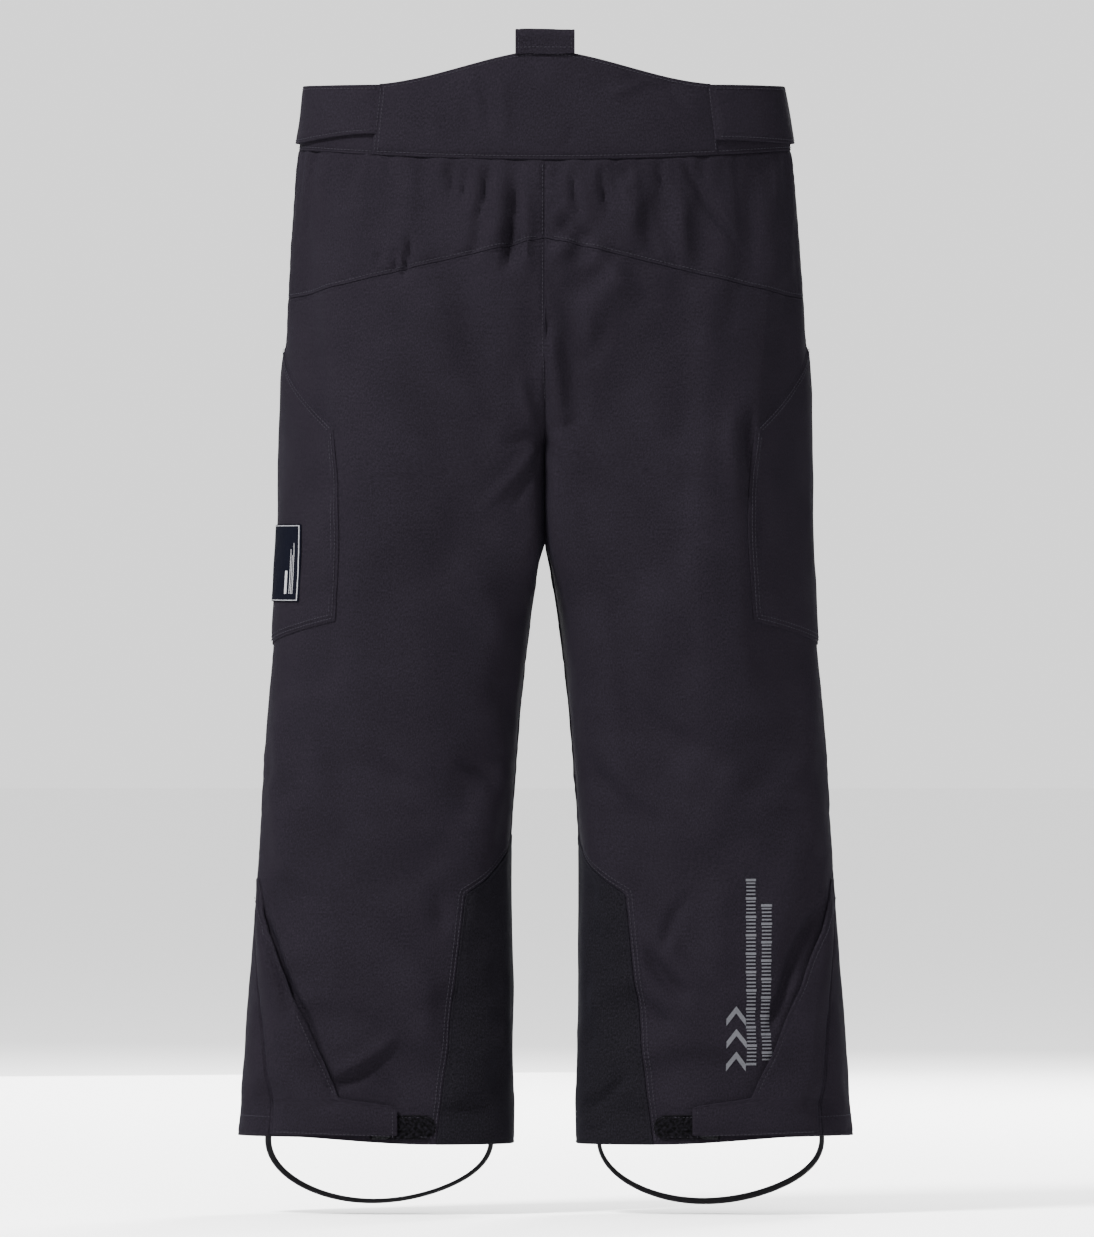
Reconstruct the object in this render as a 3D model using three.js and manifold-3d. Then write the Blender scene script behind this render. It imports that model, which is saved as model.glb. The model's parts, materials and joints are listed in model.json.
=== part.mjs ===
// Child's ski pants, size 116, shaped as worn: a shell sewn from panels, with a lining, snow gaiters,
// zips, hook-and-loop straps, snaps and elastic stirrups. Millimetres. +Z is up and the wearer faces -Y,
// so the wearer's left leg is at +X. The origin is the centre of the waist, level with the top of the
// side waistband.
//
// Every panel is a patch of one outer skin. A place on the skin is (s, z): z is the height, and s runs
// round the wearer's left half, from the centre back seam or inseam (0) over the back, the outseam (0.5)
// and the front to the centre front seam or inseam (1). Past either end it goes on to the other half of
// the waist, or on round the leg.

import * as THREE from "three";
import { mergeVertices } from "three/addons/utils/BufferGeometryUtils.js";
import Module from "manifold-3d";

const wasm = await Module();
wasm.setup();

// Driving dimensions.
const HEM_Z = -750; // the hem's lowest line, at the inseam
const HEM_RISE = 6; // how far the hem rises to the outseam
const WAIST_SEAM_Z = -46; // at the sides and the front
const WAIST_SEAM_DIP = 8; // how far the seam drops at the centre back
const BACK_RISE = 24; // how far the back waistband stands over the side
const BACK_BAND_HALF = 117; // half the width of the back waistband
const YOKE_Z = -109; // the yoke seam at the centre back
const YOKE_DROP = 42; // how far that seam drops to the outseam
const OUTSEAM_TURN = { top: -545, by: 0.113 }; // below this height the outseam turns to the back, by this s
const FORK_Z = -256; // the crotch point
const FORK_TOP_Z = -150; // where the crotch curve starts to leave the back and front
const FABRIC = 3; // the padded shell's thickness
const LINING = 1.2; // the thickness of the lining, gaiters and tapes
const FACING_DEPTH = FABRIC + 1.2; // from the skin to the facing's outer face
const LINING_DEPTH = 6.6; // and to the lining's
const SEAM_GAP = 0.36; // between panels side by side
const SECTION_LENGTH = 500; // about the way round a leg, which turns a width into s
const KNEE = { y: 6, z: -473, flex: 75, clear: 1.5 }; // the pivot, how far it bends, and the room it needs

// The garment's shape at a few heights: the outer and inner edge of a leg, and the depth behind and in front.
const STATIONS = [
  { z: 40, out: 170, in: 0.4, back: 60, front: 58 },
  { z: -60, out: 176, in: 0.4, back: 68, front: 62 },
  { z: -160, out: 182, in: 0.4, back: 80, front: 64 },
  { z: -256, out: 187.5, in: 0.4, back: 80, front: 68 },
  { z: -318, out: 190, in: 1, back: 75, front: 69 },
  { z: -370, out: 191.5, in: 8.5, back: 70, front: 69 },
  { z: -435, out: 195.5, in: 16.5, back: 62, front: 68 },
  { z: -480, out: 198, in: 20.5, back: 58, front: 67 },
  { z: -540, out: 202, in: 25.2, back: 56, front: 64 },
  { z: -650, out: 209, in: 24.8, back: 58, front: 60 },
  { z: -760, out: 218.5, in: 25, back: 62, front: 60 },
];

const COLOURS = { shell: 0x2c2a31, trim: 0x18181b, lining: 0x3a3b42, metal: 0x54565c, label: 0x33343c };

const clamp = THREE.MathUtils.clamp;
const lerp = THREE.MathUtils.lerp;
const { smoothstep } = THREE.MathUtils;

// A station value at height z, on a smooth curve through the stations.
function station(key, z) {
  const last = STATIONS.length - 2;
  let i = 0;
  while (i < last && z < STATIONS[i + 1].z) i++;
  const [a, b] = [STATIONS[i], STATIONS[i + 1]];
  const before = STATIONS[Math.max(i - 1, 0)];
  const after = STATIONS[Math.min(i + 2, STATIONS.length - 1)];
  const span = b.z - a.z;
  const t = (z - a.z) / span;
  const slopeA = ((b[key] - before[key]) / (b.z - before.z)) * span;
  const slopeB = ((after[key] - a[key]) / (after.z - a.z)) * span;
  const t2 = t * t;
  const t3 = t2 * t;
  return (2 * t3 - 3 * t2 + 1) * a[key] + (t3 - 2 * t2 + t) * slopeA
    + (3 * t2 - 2 * t3) * b[key] + (t3 - t2) * slopeB;
}

// How far the section at (s, z) has turned from half a seat (0) into a closed leg (1).
function legShare(s, z) {
  const whole = smoothstep(-z, 110, 330);
  const t = clamp((FORK_TOP_Z - z) / (FORK_TOP_Z - FORK_Z), 0, 1);
  const seam = 1 - Math.sqrt(1 - t * t);
  const fromSeam = Math.abs(s - Math.round(s));
  return lerp(whole, seam, Math.exp(-((fromSeam / 0.09) ** 2)));
}

// The skin at (s, z), on the wearer's left half.
function skin(s, z) {
  const angle = 2 * Math.PI * s;
  const [out, inner] = [station("out", z), station("in", z)];
  const [back, front] = [station("back", z), station("front", z)];
  const seatY = Math.cos(angle / 2);
  const legY = Math.sin(angle);
  const share = legShare(s, z);
  const x = lerp(out * Math.sin(angle / 2), (out + inner) / 2 - ((out - inner) / 2) * Math.cos(angle), share);
  const y = lerp(seatY * (seatY > 0 ? back : front), legY * (legY > 0 ? back : front), share);
  return new THREE.Vector3(x, y, z);
}

function normalAt(s, z) {
  const along = skin(s + 0.002, z).sub(skin(s - 0.002, z));
  const up = skin(s, z + 1).sub(skin(s, z - 1));
  return up.cross(along).normalize();
}

const raised = (s, z, offset) => skin(s, z).addScaledVector(normalAt(s, z), offset);

// The s at which x is reached above the crotch, behind or in front.
function waistS(x, z, front) {
  const half = Math.asin(clamp(x / station("out", z), -1, 1)) / Math.PI;
  return front ? 1 - half : half;
}

const constant = (value) => () => value;

// Seams and edges, as heights over s or as s over heights.
const waistSeam = (s) => WAIST_SEAM_Z - WAIST_SEAM_DIP * Math.max(0, Math.cos(Math.PI * s)) ** 2;
const yokeSeam = (s) => YOKE_Z - YOKE_DROP * Math.sin(Math.PI * s);
const hem = (s) => HEM_Z + HEM_RISE * Math.sin(Math.PI * s) ** 2;
const outseam = (z) => {
  const t = clamp((OUTSEAM_TURN.top - z) / (OUTSEAM_TURN.top - HEM_Z), 0, 1);
  return 0.5 - OUTSEAM_TURN.by * (1 - (1 - t) ** 1.5);
};
const kneeRise = (s) => Math.max(0, skin(s, KNEE.z).y - KNEE.y);
const kneeSlope = Math.tan(THREE.MathUtils.degToRad(KNEE.flex / 2));
const thighEnd = (s) => KNEE.z + SEAM_GAP / 2 + kneeRise(s) * kneeSlope + (kneeRise(s) > 0 ? KNEE.clear : 0);
const shinStart = (s) => 2 * KNEE.z - thighEnd(s);

// The scuff guard's half width in s: it starts at a point, widens quickly and follows the leg to the hem.
const GUARD = [[-537, 0.003], [-573, 0.139], [-650, 0.156], [HEM_Z, 0.176]];
const guardHalf = (z) => (z >= GUARD[0][0] ? 0 : along(GUARD, z));

// The value at height z of a list of [z, value], which runs downwards.
function along(list, z) {
  const i = clamp(list.findIndex(([low]) => z >= low), 1, list.length - 1);
  const j = z < list[list.length - 1][0] ? list.length - 1 : i;
  const [a, b] = [list[j - 1], list[j]];
  return lerp(a[1], b[1], (z - a[0]) / (b[0] - a[0]));
}

// Geometry from points and quads or triangles, turned so that its faces point out.
function closedGeometry(points, faces) {
  const index = faces.flatMap((f) => (f.length === 3 ? f : [f[0], f[1], f[2], f[0], f[2], f[3]]));
  let volume = 0;
  for (let i = 0; i < index.length; i += 3)
    volume += points[index[i]].dot(points[index[i + 1]].clone().cross(points[index[i + 2]]));
  if (volume < 0) index.reverse();
  return new THREE.BufferGeometry().setFromPoints(points).setIndex(index);
}

// A closed slab between two offsets from the skin. at(u, v) gives (s, z) over a grid, whose columns and
// rows are numbers of equal steps, or lists of places from 0 to 1.
function slab(columns, rows, at, inner, outer) {
  const lines = (n) => (Array.isArray(n) ? n : Array.from({ length: n + 1 }, (_, i) => i / n));
  const [us, vs] = [lines(columns), lines(rows)];
  const [w, h] = [us.length, vs.length];
  const layer = (offset) => vs.flatMap((v) => us.map((u) => raised(...at(u, v), offset)));
  const points = [...layer(inner), ...layer(outer)];
  const id = (side, i, j) => side * w * h + j * w + i;
  const faces = [];
  for (let j = 0; j < h - 1; j++)
    for (let i = 0; i < w - 1; i++) {
      faces.push([id(0, i, j), id(0, i + 1, j), id(0, i + 1, j + 1), id(0, i, j + 1)]);
      faces.push([id(1, i, j), id(1, i, j + 1), id(1, i + 1, j + 1), id(1, i + 1, j)]);
    }
  for (let i = 0; i < w - 1; i++) {
    faces.push([id(0, i, 0), id(1, i, 0), id(1, i + 1, 0), id(0, i + 1, 0)]);
    faces.push([id(0, i, h - 1), id(0, i + 1, h - 1), id(1, i + 1, h - 1), id(1, i, h - 1)]);
  }
  for (let j = 0; j < h - 1; j++) {
    faces.push([id(0, 0, j), id(0, 0, j + 1), id(1, 0, j + 1), id(1, 0, j)]);
    faces.push([id(0, w - 1, j), id(1, w - 1, j), id(1, w - 1, j + 1), id(0, w - 1, j + 1)]);
  }
  return closedGeometry(points, faces);
}

// A slab between s = left(z) and right(z), and between z = top(s) and bottom(s), less a gap all round.
function panel({ columns, rows, top, bottom, left, right, inner = -FABRIC, outer = 0, gap = SEAM_GAP / 2 }) {
  const sGap = gap / SECTION_LENGTH;
  const at = (u, v) => {
    const midHeight = (top(0) + bottom(0)) / 2;
    const nearS = lerp(left(midHeight), right(midHeight), u);
    const edgeS = lerp(left(top(nearS)), right(top(nearS)), u);
    const z = lerp(top(edgeS) - gap, bottom(edgeS) + gap, v);
    return [lerp(left(z) + sGap, right(z) - sGap, u), z];
  };
  return slab(columns, rows, at, inner, outer);
}

// manifold-3d solids, for cuts and joins.
function solid(geometry) {
  const bare = new THREE.BufferGeometry().setAttribute("position", geometry.getAttribute("position"));
  if (geometry.index) bare.setIndex(geometry.index);
  const merged = mergeVertices(bare.index ? bare.toNonIndexed() : bare, 1e-4);
  return new wasm.Manifold(new wasm.Mesh({
    numProp: 3,
    vertProperties: merged.attributes.position.array,
    triVerts: new Uint32Array(merged.index.array),
  }));
}

function geometryOf(manifold) {
  const mesh = manifold.getMesh();
  return new THREE.BufferGeometry()
    .setAttribute("position", new THREE.BufferAttribute(new Float32Array(mesh.vertProperties), 3))
    .setIndex(new THREE.BufferAttribute(new Uint32Array(mesh.triVerts), 1));
}

const cut = (geometry, tool) => geometryOf(solid(geometry).subtract(solid(tool)));
const join = (a, b) => geometryOf(solid(a).add(solid(b)));

function block(low, high) {
  const [a, b] = [new THREE.Vector3(...low), new THREE.Vector3(...high)];
  const size = b.clone().sub(a);
  return new THREE.BoxGeometry(size.x, size.y, size.z).translate(...a.add(b).multiplyScalar(0.5));
}

// The same geometry on the wearer's right.
function mirrored(geometry) {
  const copy = geometry.clone().scale(-1, 1, 1);
  const index = copy.index ? Array.from(copy.index.array) : [...Array(copy.attributes.position.count).keys()];
  return copy.setIndex(index.reverse());
}

const garment = new THREE.Group();

function add(name, geometry, look = "shell") {
  const metal = look === "metal";
  const material = new THREE.MeshStandardMaterial({
    color: COLOURS[look], roughness: metal ? 0.35 : 0.85, metalness: metal ? 0.9 : 0, flatShading: true,
  });
  const mesh = new THREE.Mesh(geometry, material);
  mesh.name = name;
  garment.add(mesh);
}

// One piece for each side, from the wearer's left one.
function addPair(name, geometry, look) {
  add(`left_${name}`, geometry, look);
  add(`right_${name}`, mirrored(geometry), look);
}

// ---- Waist ----

const BAND_EDGE = waistS(BACK_BAND_HALF, 0, false);
const BACK_BAND_STANDS = 2.2; // the padded back waistband stands this far proud of the shell
const STRAP = { from: BAND_EDGE + 0.004, to: 0.7, top: -1, bottom: -41, inner: 2, outer: 3.6 };

// The back waistband's top edge: level over the middle, then falling to the sides.
const backTop = (s) => BACK_RISE * (1 - smoothstep(Math.abs(skin(s, 0).x), 12, BACK_BAND_HALF + 14));

function waistBands() {
  add("back_waistband", panel({
    columns: 16, rows: 2, top: backTop, bottom: waistSeam,
    left: constant(-BAND_EDGE), right: constant(BAND_EDGE), outer: BACK_BAND_STANDS,
  }));
  addPair("front_waistband", panel({
    columns: 14, rows: 1, top: constant(0), bottom: waistSeam, left: constant(BAND_EDGE), right: constant(1),
  }));
  add("waistband_facing", panel({
    columns: 32, rows: 1, left: constant(-0.975), right: constant(0.975),
    top: (s) => (Math.abs(s) < BAND_EDGE ? backTop(s) : 0) - 2, bottom: (s) => waistSeam(s) + 2,
    inner: -FACING_DEPTH - LINING, outer: -FACING_DEPTH,
  }), "lining");
}

// The adjuster strap is sewn at the back waistband's edge and runs round the side to the front.
function waistStraps() {
  addPair("waist_strap", panel({
    columns: 12, rows: 1, top: constant(STRAP.top), bottom: constant(STRAP.bottom),
    left: constant(STRAP.from), right: constant(STRAP.to), inner: STRAP.inner, outer: STRAP.outer,
  }));
  addPair("waist_hook", panel({
    columns: 4, rows: 1, top: constant(STRAP.top - 5), bottom: constant(STRAP.bottom + 5),
    left: constant(STRAP.to - 0.09), right: constant(STRAP.to - 0.01), inner: 0.7, outer: STRAP.inner - 0.3,
  }), "trim");
}

// The loop on the back waistband is a folded strip with a gap a hanger or a brace's clip goes through.
const BACK_LOOP = { width: 42, base: BACK_RISE + 0.4, height: 14, gap: 6, strip: 1.6 };
function archBlock(halfDepth, width, low, high) {
  const outline = new THREE.Shape().moveTo(halfDepth, low).lineTo(-halfDepth, low)
    .absarc(0, high - halfDepth, halfDepth, Math.PI, 0, true);
  return new THREE.ExtrudeGeometry(outline, { depth: width, bevelEnabled: false, curveSegments: 5 })
    .translate(0, 0, -width / 2).rotateX(Math.PI / 2).rotateZ(Math.PI / 2);
}

function backLoop() {
  const { width, base, height, gap, strip } = BACK_LOOP;
  const outside = archBlock(gap / 2 + strip, width, 0, height);
  const inside = archBlock(gap / 2, width + 2, strip, height - strip);
  add("back_loop", cut(outside, inside).translate(0, skin(0, BACK_RISE).y - 1, base), "shell");
}

// The waistband closes in front with a tab and two snaps over two studs.
const TAB = { sewn: 30, free: -22, inner: 2.9, outer: 4.5, snapX: -11, snapZ: [-13, -33] };
function waistClosure() {
  add("waist_tab", panel({
    columns: 6, rows: 2, top: constant(-2), bottom: constant(WAIST_SEAM_Z + 2),
    left: constant(waistS(TAB.sewn, 0, true)), right: constant(waistS(TAB.free, 0, true)),
    inner: TAB.inner, outer: TAB.outer,
  }));
  const round = (r, thickness, dome) => new THREE.LatheGeometry([
    new THREE.Vector2(0, 0), new THREE.Vector2(r, 0), new THREE.Vector2(r, thickness),
    new THREE.Vector2(r * 0.7, thickness + dome), new THREE.Vector2(0, thickness + dome),
  ], 12).rotateX(Math.PI);
  ["upper", "lower"].forEach((place, i) => {
    const s = waistS(TAB.snapX, TAB.snapZ[i], true);
    const cap = raised(s, TAB.snapZ[i], TAB.outer + 0.35);
    add(`${place}_snap_cap`, round(6, 1.2, 0.8).translate(...cap), "metal");
    const stud = raised(s, TAB.snapZ[i], 0.35);
    add(`${place}_snap_stud`, round(3.5, 1.4, 0.4).translate(...stud), "metal");
  });
}

// ---- Seat, thighs and lower legs ----

const THIGH_ROWS = [0, 0.13, 0.26, 0.34, 0.4, 0.46, 0.56, 0.7, 0.85, 1];
const LINING_ROWS = [0, 0.12, 0.22, 0.28, 0.33, 0.38, 0.43, 0.48, 0.58, 0.75, 1];

// Lines along s over a quarter of the section, closer together towards the centre seam, where it curves most.
const FROM_SEAM = [0, 0.05, 0.1, 0.16, 0.24, 0.33, 0.43, 0.54, 0.65, 0.77, 0.88, 1];
const TO_SEAM = FROM_SEAM.map((u) => 1 - u).reverse();
const ROUND_LEG = [...FROM_SEAM.map((u) => u / 2), ...TO_SEAM.slice(1).map((u) => (1 + u) / 2)];

const FLY = { half: 12, top: WAIST_SEAM_Z - 2, bottom: -172, tape: -2.4, shield: -4.6, shieldHalf: 14 };
const flyRoom = (half) => block([-half, -90, FLY.bottom], [half, -40, WAIST_SEAM_Z + 2]);

// A zip lies along the line between two places on the skin, lifted clear of what bulges between them.
function zipLine(from, to, offset, half = 5) {
  const [a, b] = [raised(...from, offset), raised(...to, offset)];
  const up = a.clone().sub(b).normalize();
  const middle = [(from[0] + to[0]) / 2, (from[1] + to[1]) / 2];
  const out = normalAt(...middle).addScaledVector(up, -normalAt(...middle).dot(up)).normalize();
  const across = up.clone().cross(out);
  let lift = 0;
  for (let i = 0; i <= 16; i++)
    for (const side of [-1, 0, 1]) {
      const s = lerp(from[0], to[0], i / 16) + (side * half) / 500;
      lift = Math.max(lift, raised(s, lerp(from[1], to[1], i / 16), offset).sub(a).dot(out));
    }
  const place = new THREE.Matrix4().makeBasis(across, up, out);
  const centre = a.clone().add(b).multiplyScalar(0.5).addScaledVector(out, lift);
  return { place: place.setPosition(centre), length: a.distanceTo(b), up, out, across };
}

const CARGO = {
  rear: 0.338, front: 0.66, inner: 0.6, outer: 2.8, top: -182, cornerTop: -242, cornerFoot: -380, foot: -397,
};
const LABEL_STANDS = CARGO.outer + 1.2;
const ZIP = { half: 2.5, depth: 2.4, stands: 0.3, room: 0.4, rest: 9 };
const HAND_LINE = zipLine([0.775, -66], [0.69, -172], 0);
const CARGO_LINE = zipLine([0.625, -236], [0.63, -366], CARGO.outer);
const FLY_LINE = zipLine([1, FLY.top - 4], [1, FLY.bottom + 4], FLY.tape + LINING);

const zipBox = ({ place, length }, room, depth) => new THREE.BoxGeometry(
  2 * (ZIP.half + room), length + 2 * room, depth,
).translate(0, 0, ZIP.stands - ZIP.depth / 2).applyMatrix4(place);
const zipBar = (line) => zipBox(line, 0, ZIP.depth);
const zipSlot = (line) => zipBox(line, ZIP.room, 4 * ZIP.depth);

function upperLegs() {
  addPair("back_yoke", panel({
    columns: FROM_SEAM, rows: 3, top: waistSeam, bottom: yokeSeam, left: constant(0), right: constant(0.5),
  }));
  addPair("back_thigh", panel({
    columns: FROM_SEAM, rows: THIGH_ROWS,
    top: yokeSeam, bottom: thighEnd, left: constant(0), right: constant(0.5),
  }));
  const front = panel({
    columns: TO_SEAM, rows: LINING_ROWS,
    top: waistSeam, bottom: thighEnd, left: constant(0.5), right: constant(1),
  });
  addPair("front_thigh", cut(cut(front, flyRoom(FLY.half)), zipSlot(HAND_LINE)));
  const lining = panel({
    columns: ROUND_LEG, rows: LINING_ROWS, top: (s) => waistSeam(s) - 1, bottom: thighEnd,
    left: constant(0.002), right: constant(0.998), inner: -LINING_DEPTH - LINING, outer: -LINING_DEPTH,
  });
  addPair("thigh_lining", cut(lining, flyRoom(FLY.shieldHalf + 1)), "lining");
}

// The cloth behind the knee, which crumples as the knee bends.
function kneeFolds() {
  addPair("knee_fold", panel({
    columns: 12, rows: 2, top: thighEnd, bottom: shinStart,
    left: constant(0.07), right: constant(0.43), gap: 1.2,
  }));
}

function lowerLegs() {
  const top = shinStart(0);
  const rows = [top, -505, ...GUARD.map(([z]) => z), -610, -700].sort((a, b) => b - a)
    .map((z) => (z - top) / (HEM_Z - top));
  addPair("back_shin", panel({
    columns: 12, rows, top: shinStart, bottom: hem, left: guardHalf, right: outseam,
  }));
  addPair("front_shin", panel({
    columns: 14, rows, top: shinStart, bottom: hem, left: outseam, right: (z) => 1 - guardHalf(z),
  }));
  addPair("scuff_guard", panel({
    columns: 10, rows: GUARD.map(([z]) => (z - GUARD[0][0]) / (HEM_Z - GUARD[0][0])),
    top: constant(GUARD[0][0]), bottom: hem, left: (z) => -guardHalf(z), right: guardHalf,
  }), "trim");
}

// The snow gaiter is a sleeve inside the lower leg, drawn in by elastic at its own hem.
const GAITER = { top: -600, bottom: -738, wall: 1.2, topInset: 9.5, halfWidth: 78, halfDepth: 46 };
function gaiterRing(z, wall) {
  const t = smoothstep(-z, -GAITER.top, -GAITER.bottom);
  const [out, inner] = [station("out", z), station("in", z)];
  const a = lerp((out - inner) / 2 - GAITER.topInset, GAITER.halfWidth, t) - wall;
  const b = lerp(station("front", z) - GAITER.topInset, GAITER.halfDepth, t) - wall;
  return { x: lerp((out + inner) / 2, stirrupCentre(), t), a, b };
}

function gaiters() {
  const [around, rows] = [20, 3];
  const points = [];
  for (const wall of [0, GAITER.wall])
    for (let j = 0; j <= rows; j++)
      for (let i = 0; i < around; i++) {
        const z = lerp(GAITER.top, GAITER.bottom, j / rows);
        const ring = gaiterRing(z, wall);
        const angle = (2 * Math.PI * i) / around;
        points.push(new THREE.Vector3(ring.x + ring.a * Math.cos(angle), ring.b * Math.sin(angle), z));
      }
  const id = (layer, i, j) => (layer * (rows + 1) + j) * around + (i % around);
  const faces = [];
  for (let i = 0; i < around; i++) {
    for (let j = 0; j < rows; j++) {
      faces.push([id(0, i, j), id(0, i, j + 1), id(0, i + 1, j + 1), id(0, i + 1, j)]);
      faces.push([id(1, i, j), id(1, i + 1, j), id(1, i + 1, j + 1), id(1, i, j + 1)]);
    }
    faces.push([id(0, i, 0), id(0, i + 1, 0), id(1, i + 1, 0), id(1, i, 0)]);
    faces.push([id(0, i, rows), id(1, i, rows), id(1, i + 1, rows), id(0, i + 1, rows)]);
  }
  addPair("snow_gaiter", closedGeometry(points, faces), "lining");
}

// ---- Cuff straps, scuff patches and stirrups ----

// The s behind a lower leg at which x is reached.
function shinS(x, z) {
  const [out, inner] = [station("out", z), station("in", z)];
  return Math.acos(clamp(((out + inner) / 2 - x) / ((out - inner) / 2), -1, 1)) / (2 * Math.PI);
}

const FLAP = { top: -562, tabX: 104.5, inner: 4.2, outer: 5.8 };
const FLAP_EDGE = [[-562, 202], [-600, 194], [-640, 178.5], [-717, 145.5], [-723, 104.5], [HEM_Z, 104.5]];
const CUFF_TAPE = { rows: 1, top: constant(-728), bottom: constant(-744) };
const flapEdge = (z) => Math.min(shinS(along(FLAP_EDGE, z), z), outseam(z) - 0.008);

// The flap is sewn along the outseam and narrows to a tab. The hook patch under its end holds it closed.
function cuffs() {
  const depth = FLAP.top - HEM_Z;
  addPair("cuff_flap", panel({
    columns: 8, rows: FLAP_EDGE.map(([z]) => (FLAP.top - z) / depth),
    top: constant(FLAP.top), bottom: (s) => hem(s) + 1,
    left: flapEdge, right: outseam, inner: FLAP.inner, outer: FLAP.outer, gap: 0,
  }));
  addPair("cuff_hook", panel({
    ...CUFF_TAPE, columns: 3, left: (z) => shinS(106, z), right: (z) => shinS(121, z), inner: 1.9, outer: 2.7,
  }), "trim");
  addPair("cuff_loop", panel({
    ...CUFF_TAPE, columns: 8, left: (z) => shinS(77, z), right: (z) => shinS(124, z), inner: 0.4, outer: 1.5,
  }), "trim");
}

const STIRRUP = { drop: 47, half: 80, width: 8, thick: 1.2, top: -745, pivot: -741 };
function stirrupCentre() {
  return (station("out", HEM_Z) + station("in", HEM_Z)) / 2 - 3;
}

function stirrups() {
  const points = [new THREE.Vector3(STIRRUP.half, 0, STIRRUP.top + 9)];
  for (let i = 0; i <= 24; i++) {
    const angle = (Math.PI * i) / 24;
    const z = STIRRUP.top - STIRRUP.drop * Math.sin(angle);
    points.push(new THREE.Vector3(STIRRUP.half * Math.cos(angle), 0, z));
  }
  points.push(new THREE.Vector3(-STIRRUP.half, 0, STIRRUP.top + 9));
  const [w, t] = [STIRRUP.width / 2, STIRRUP.thick / 2];
  const section = new THREE.Shape().moveTo(-w, -t).lineTo(w, -t).lineTo(w, t).lineTo(-w, t);
  const band = new THREE.ExtrudeGeometry(section, {
    steps: 37, extrudePath: new THREE.CatmullRomCurve3(points), bevelEnabled: false,
  });
  addPair("stirrup", band.translate(stirrupCentre(), 0, 0), "trim");
}

// ---- Fly, pockets and their zips ----

function flyPieces() {
  const overFly = (half) => constant(waistS(half, (FLY.top + FLY.bottom) / 2, true));
  addPair("fly_tape", panel({
    columns: 2, rows: 4, top: constant(FLY.top), bottom: constant(FLY.bottom + 1),
    left: overFly(FLY.half - 0.5), right: constant(1), inner: FLY.tape, outer: FLY.tape + LINING,
  }), "trim");
  add("fly_shield", panel({
    columns: 4, rows: 4, top: constant(FLY.top), bottom: constant(FLY.bottom + 2),
    left: overFly(FLY.shieldHalf), right: overFly(-FLY.shieldHalf),
    inner: FLY.shield - LINING, outer: FLY.shield,
  }), "lining");
}

// A slider has a body, which sits on the zip, and an arch. The pull's top bar turns inside the arch.
const SLIDER = { width: 8, length: 11, thick: 3, gap: 0.3, arch: 2.6, bore: 1.5, archWidth: 1.4 };
const PULL_AXIS = SLIDER.gap + SLIDER.thick + 1.3; // its height over the zip's face
const PULL = { width: 5.4, length: 24, thick: 1.2, bar: 0.7, slot: 4, slotHalf: 1.3 };

function sliderGeometry() {
  const { width, length, thick, gap } = SLIDER;
  const outline = new THREE.Shape()
    .moveTo(-width / 2, length / 2).lineTo(width / 2, length / 2).lineTo(width / 2, 0)
    .lineTo(width / 4, -length / 2).lineTo(-width / 4, -length / 2).lineTo(-width / 2, 0);
  const body = new THREE.ExtrudeGeometry(outline, { depth: thick, bevelEnabled: false }).translate(0, 0, gap);
  const ring = new THREE.Shape().absarc(0, 0, SLIDER.arch, -0.6, Math.PI + 0.6, false);
  ring.absarc(0, 0, SLIDER.bore, Math.PI + 0.8, -0.8, true);
  const across = { depth: SLIDER.archWidth, bevelEnabled: false, curveSegments: 10 };
  const arch = new THREE.ExtrudeGeometry(ring, across)
    .translate(0, 0, -SLIDER.archWidth / 2).rotateX(Math.PI / 2).rotateZ(Math.PI / 2)
    .translate(0, 0, PULL_AXIS);
  return join(body, arch);
}

function pullGeometry() {
  const { width, length, thick, bar, slot, slotHalf } = PULL;
  const outline = new THREE.Shape()
    .moveTo(-width / 2, bar).lineTo(width / 2, bar).lineTo(width / 2, width / 2 - length)
    .absarc(0, width / 2 - length, width / 2, 0, -Math.PI, true);
  outline.holes.push(new THREE.Path([
    new THREE.Vector2(-slotHalf, -bar), new THREE.Vector2(-slotHalf, -bar - slot),
    new THREE.Vector2(slotHalf, -bar - slot), new THREE.Vector2(slotHalf, -bar),
  ]));
  return new THREE.ExtrudeGeometry(outline, { depth: thick, bevelEnabled: false, curveSegments: 5 })
    .translate(0, 0, PULL_AXIS - thick / 2);
}

// A closed zip: its slider is at the top, on the zip's face, and the pull hangs from it.
function slider(line, face) {
  const shift = new THREE.Matrix4().makeTranslation(0, line.length / 2 - ZIP.rest, face);
  const place = line.place.clone().multiply(shift);
  return { body: sliderGeometry().applyMatrix4(place), pull: pullGeometry().applyMatrix4(place) };
}

function zips() {
  const fly = slider(FLY_LINE, 0);
  add("fly_slider", fly.body, "metal");
  add("fly_pull", fly.pull, "trim");
  for (const [name, line] of [["hand", HAND_LINE], ["cargo", CARGO_LINE]]) {
    addPair(`${name}_zip`, zipBar(line), "trim");
    const { body, pull } = slider(line, ZIP.stands);
    addPair(`${name}_slider`, body, "metal");
    addPair(`${name}_pull`, pull, "trim");
  }
}

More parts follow.
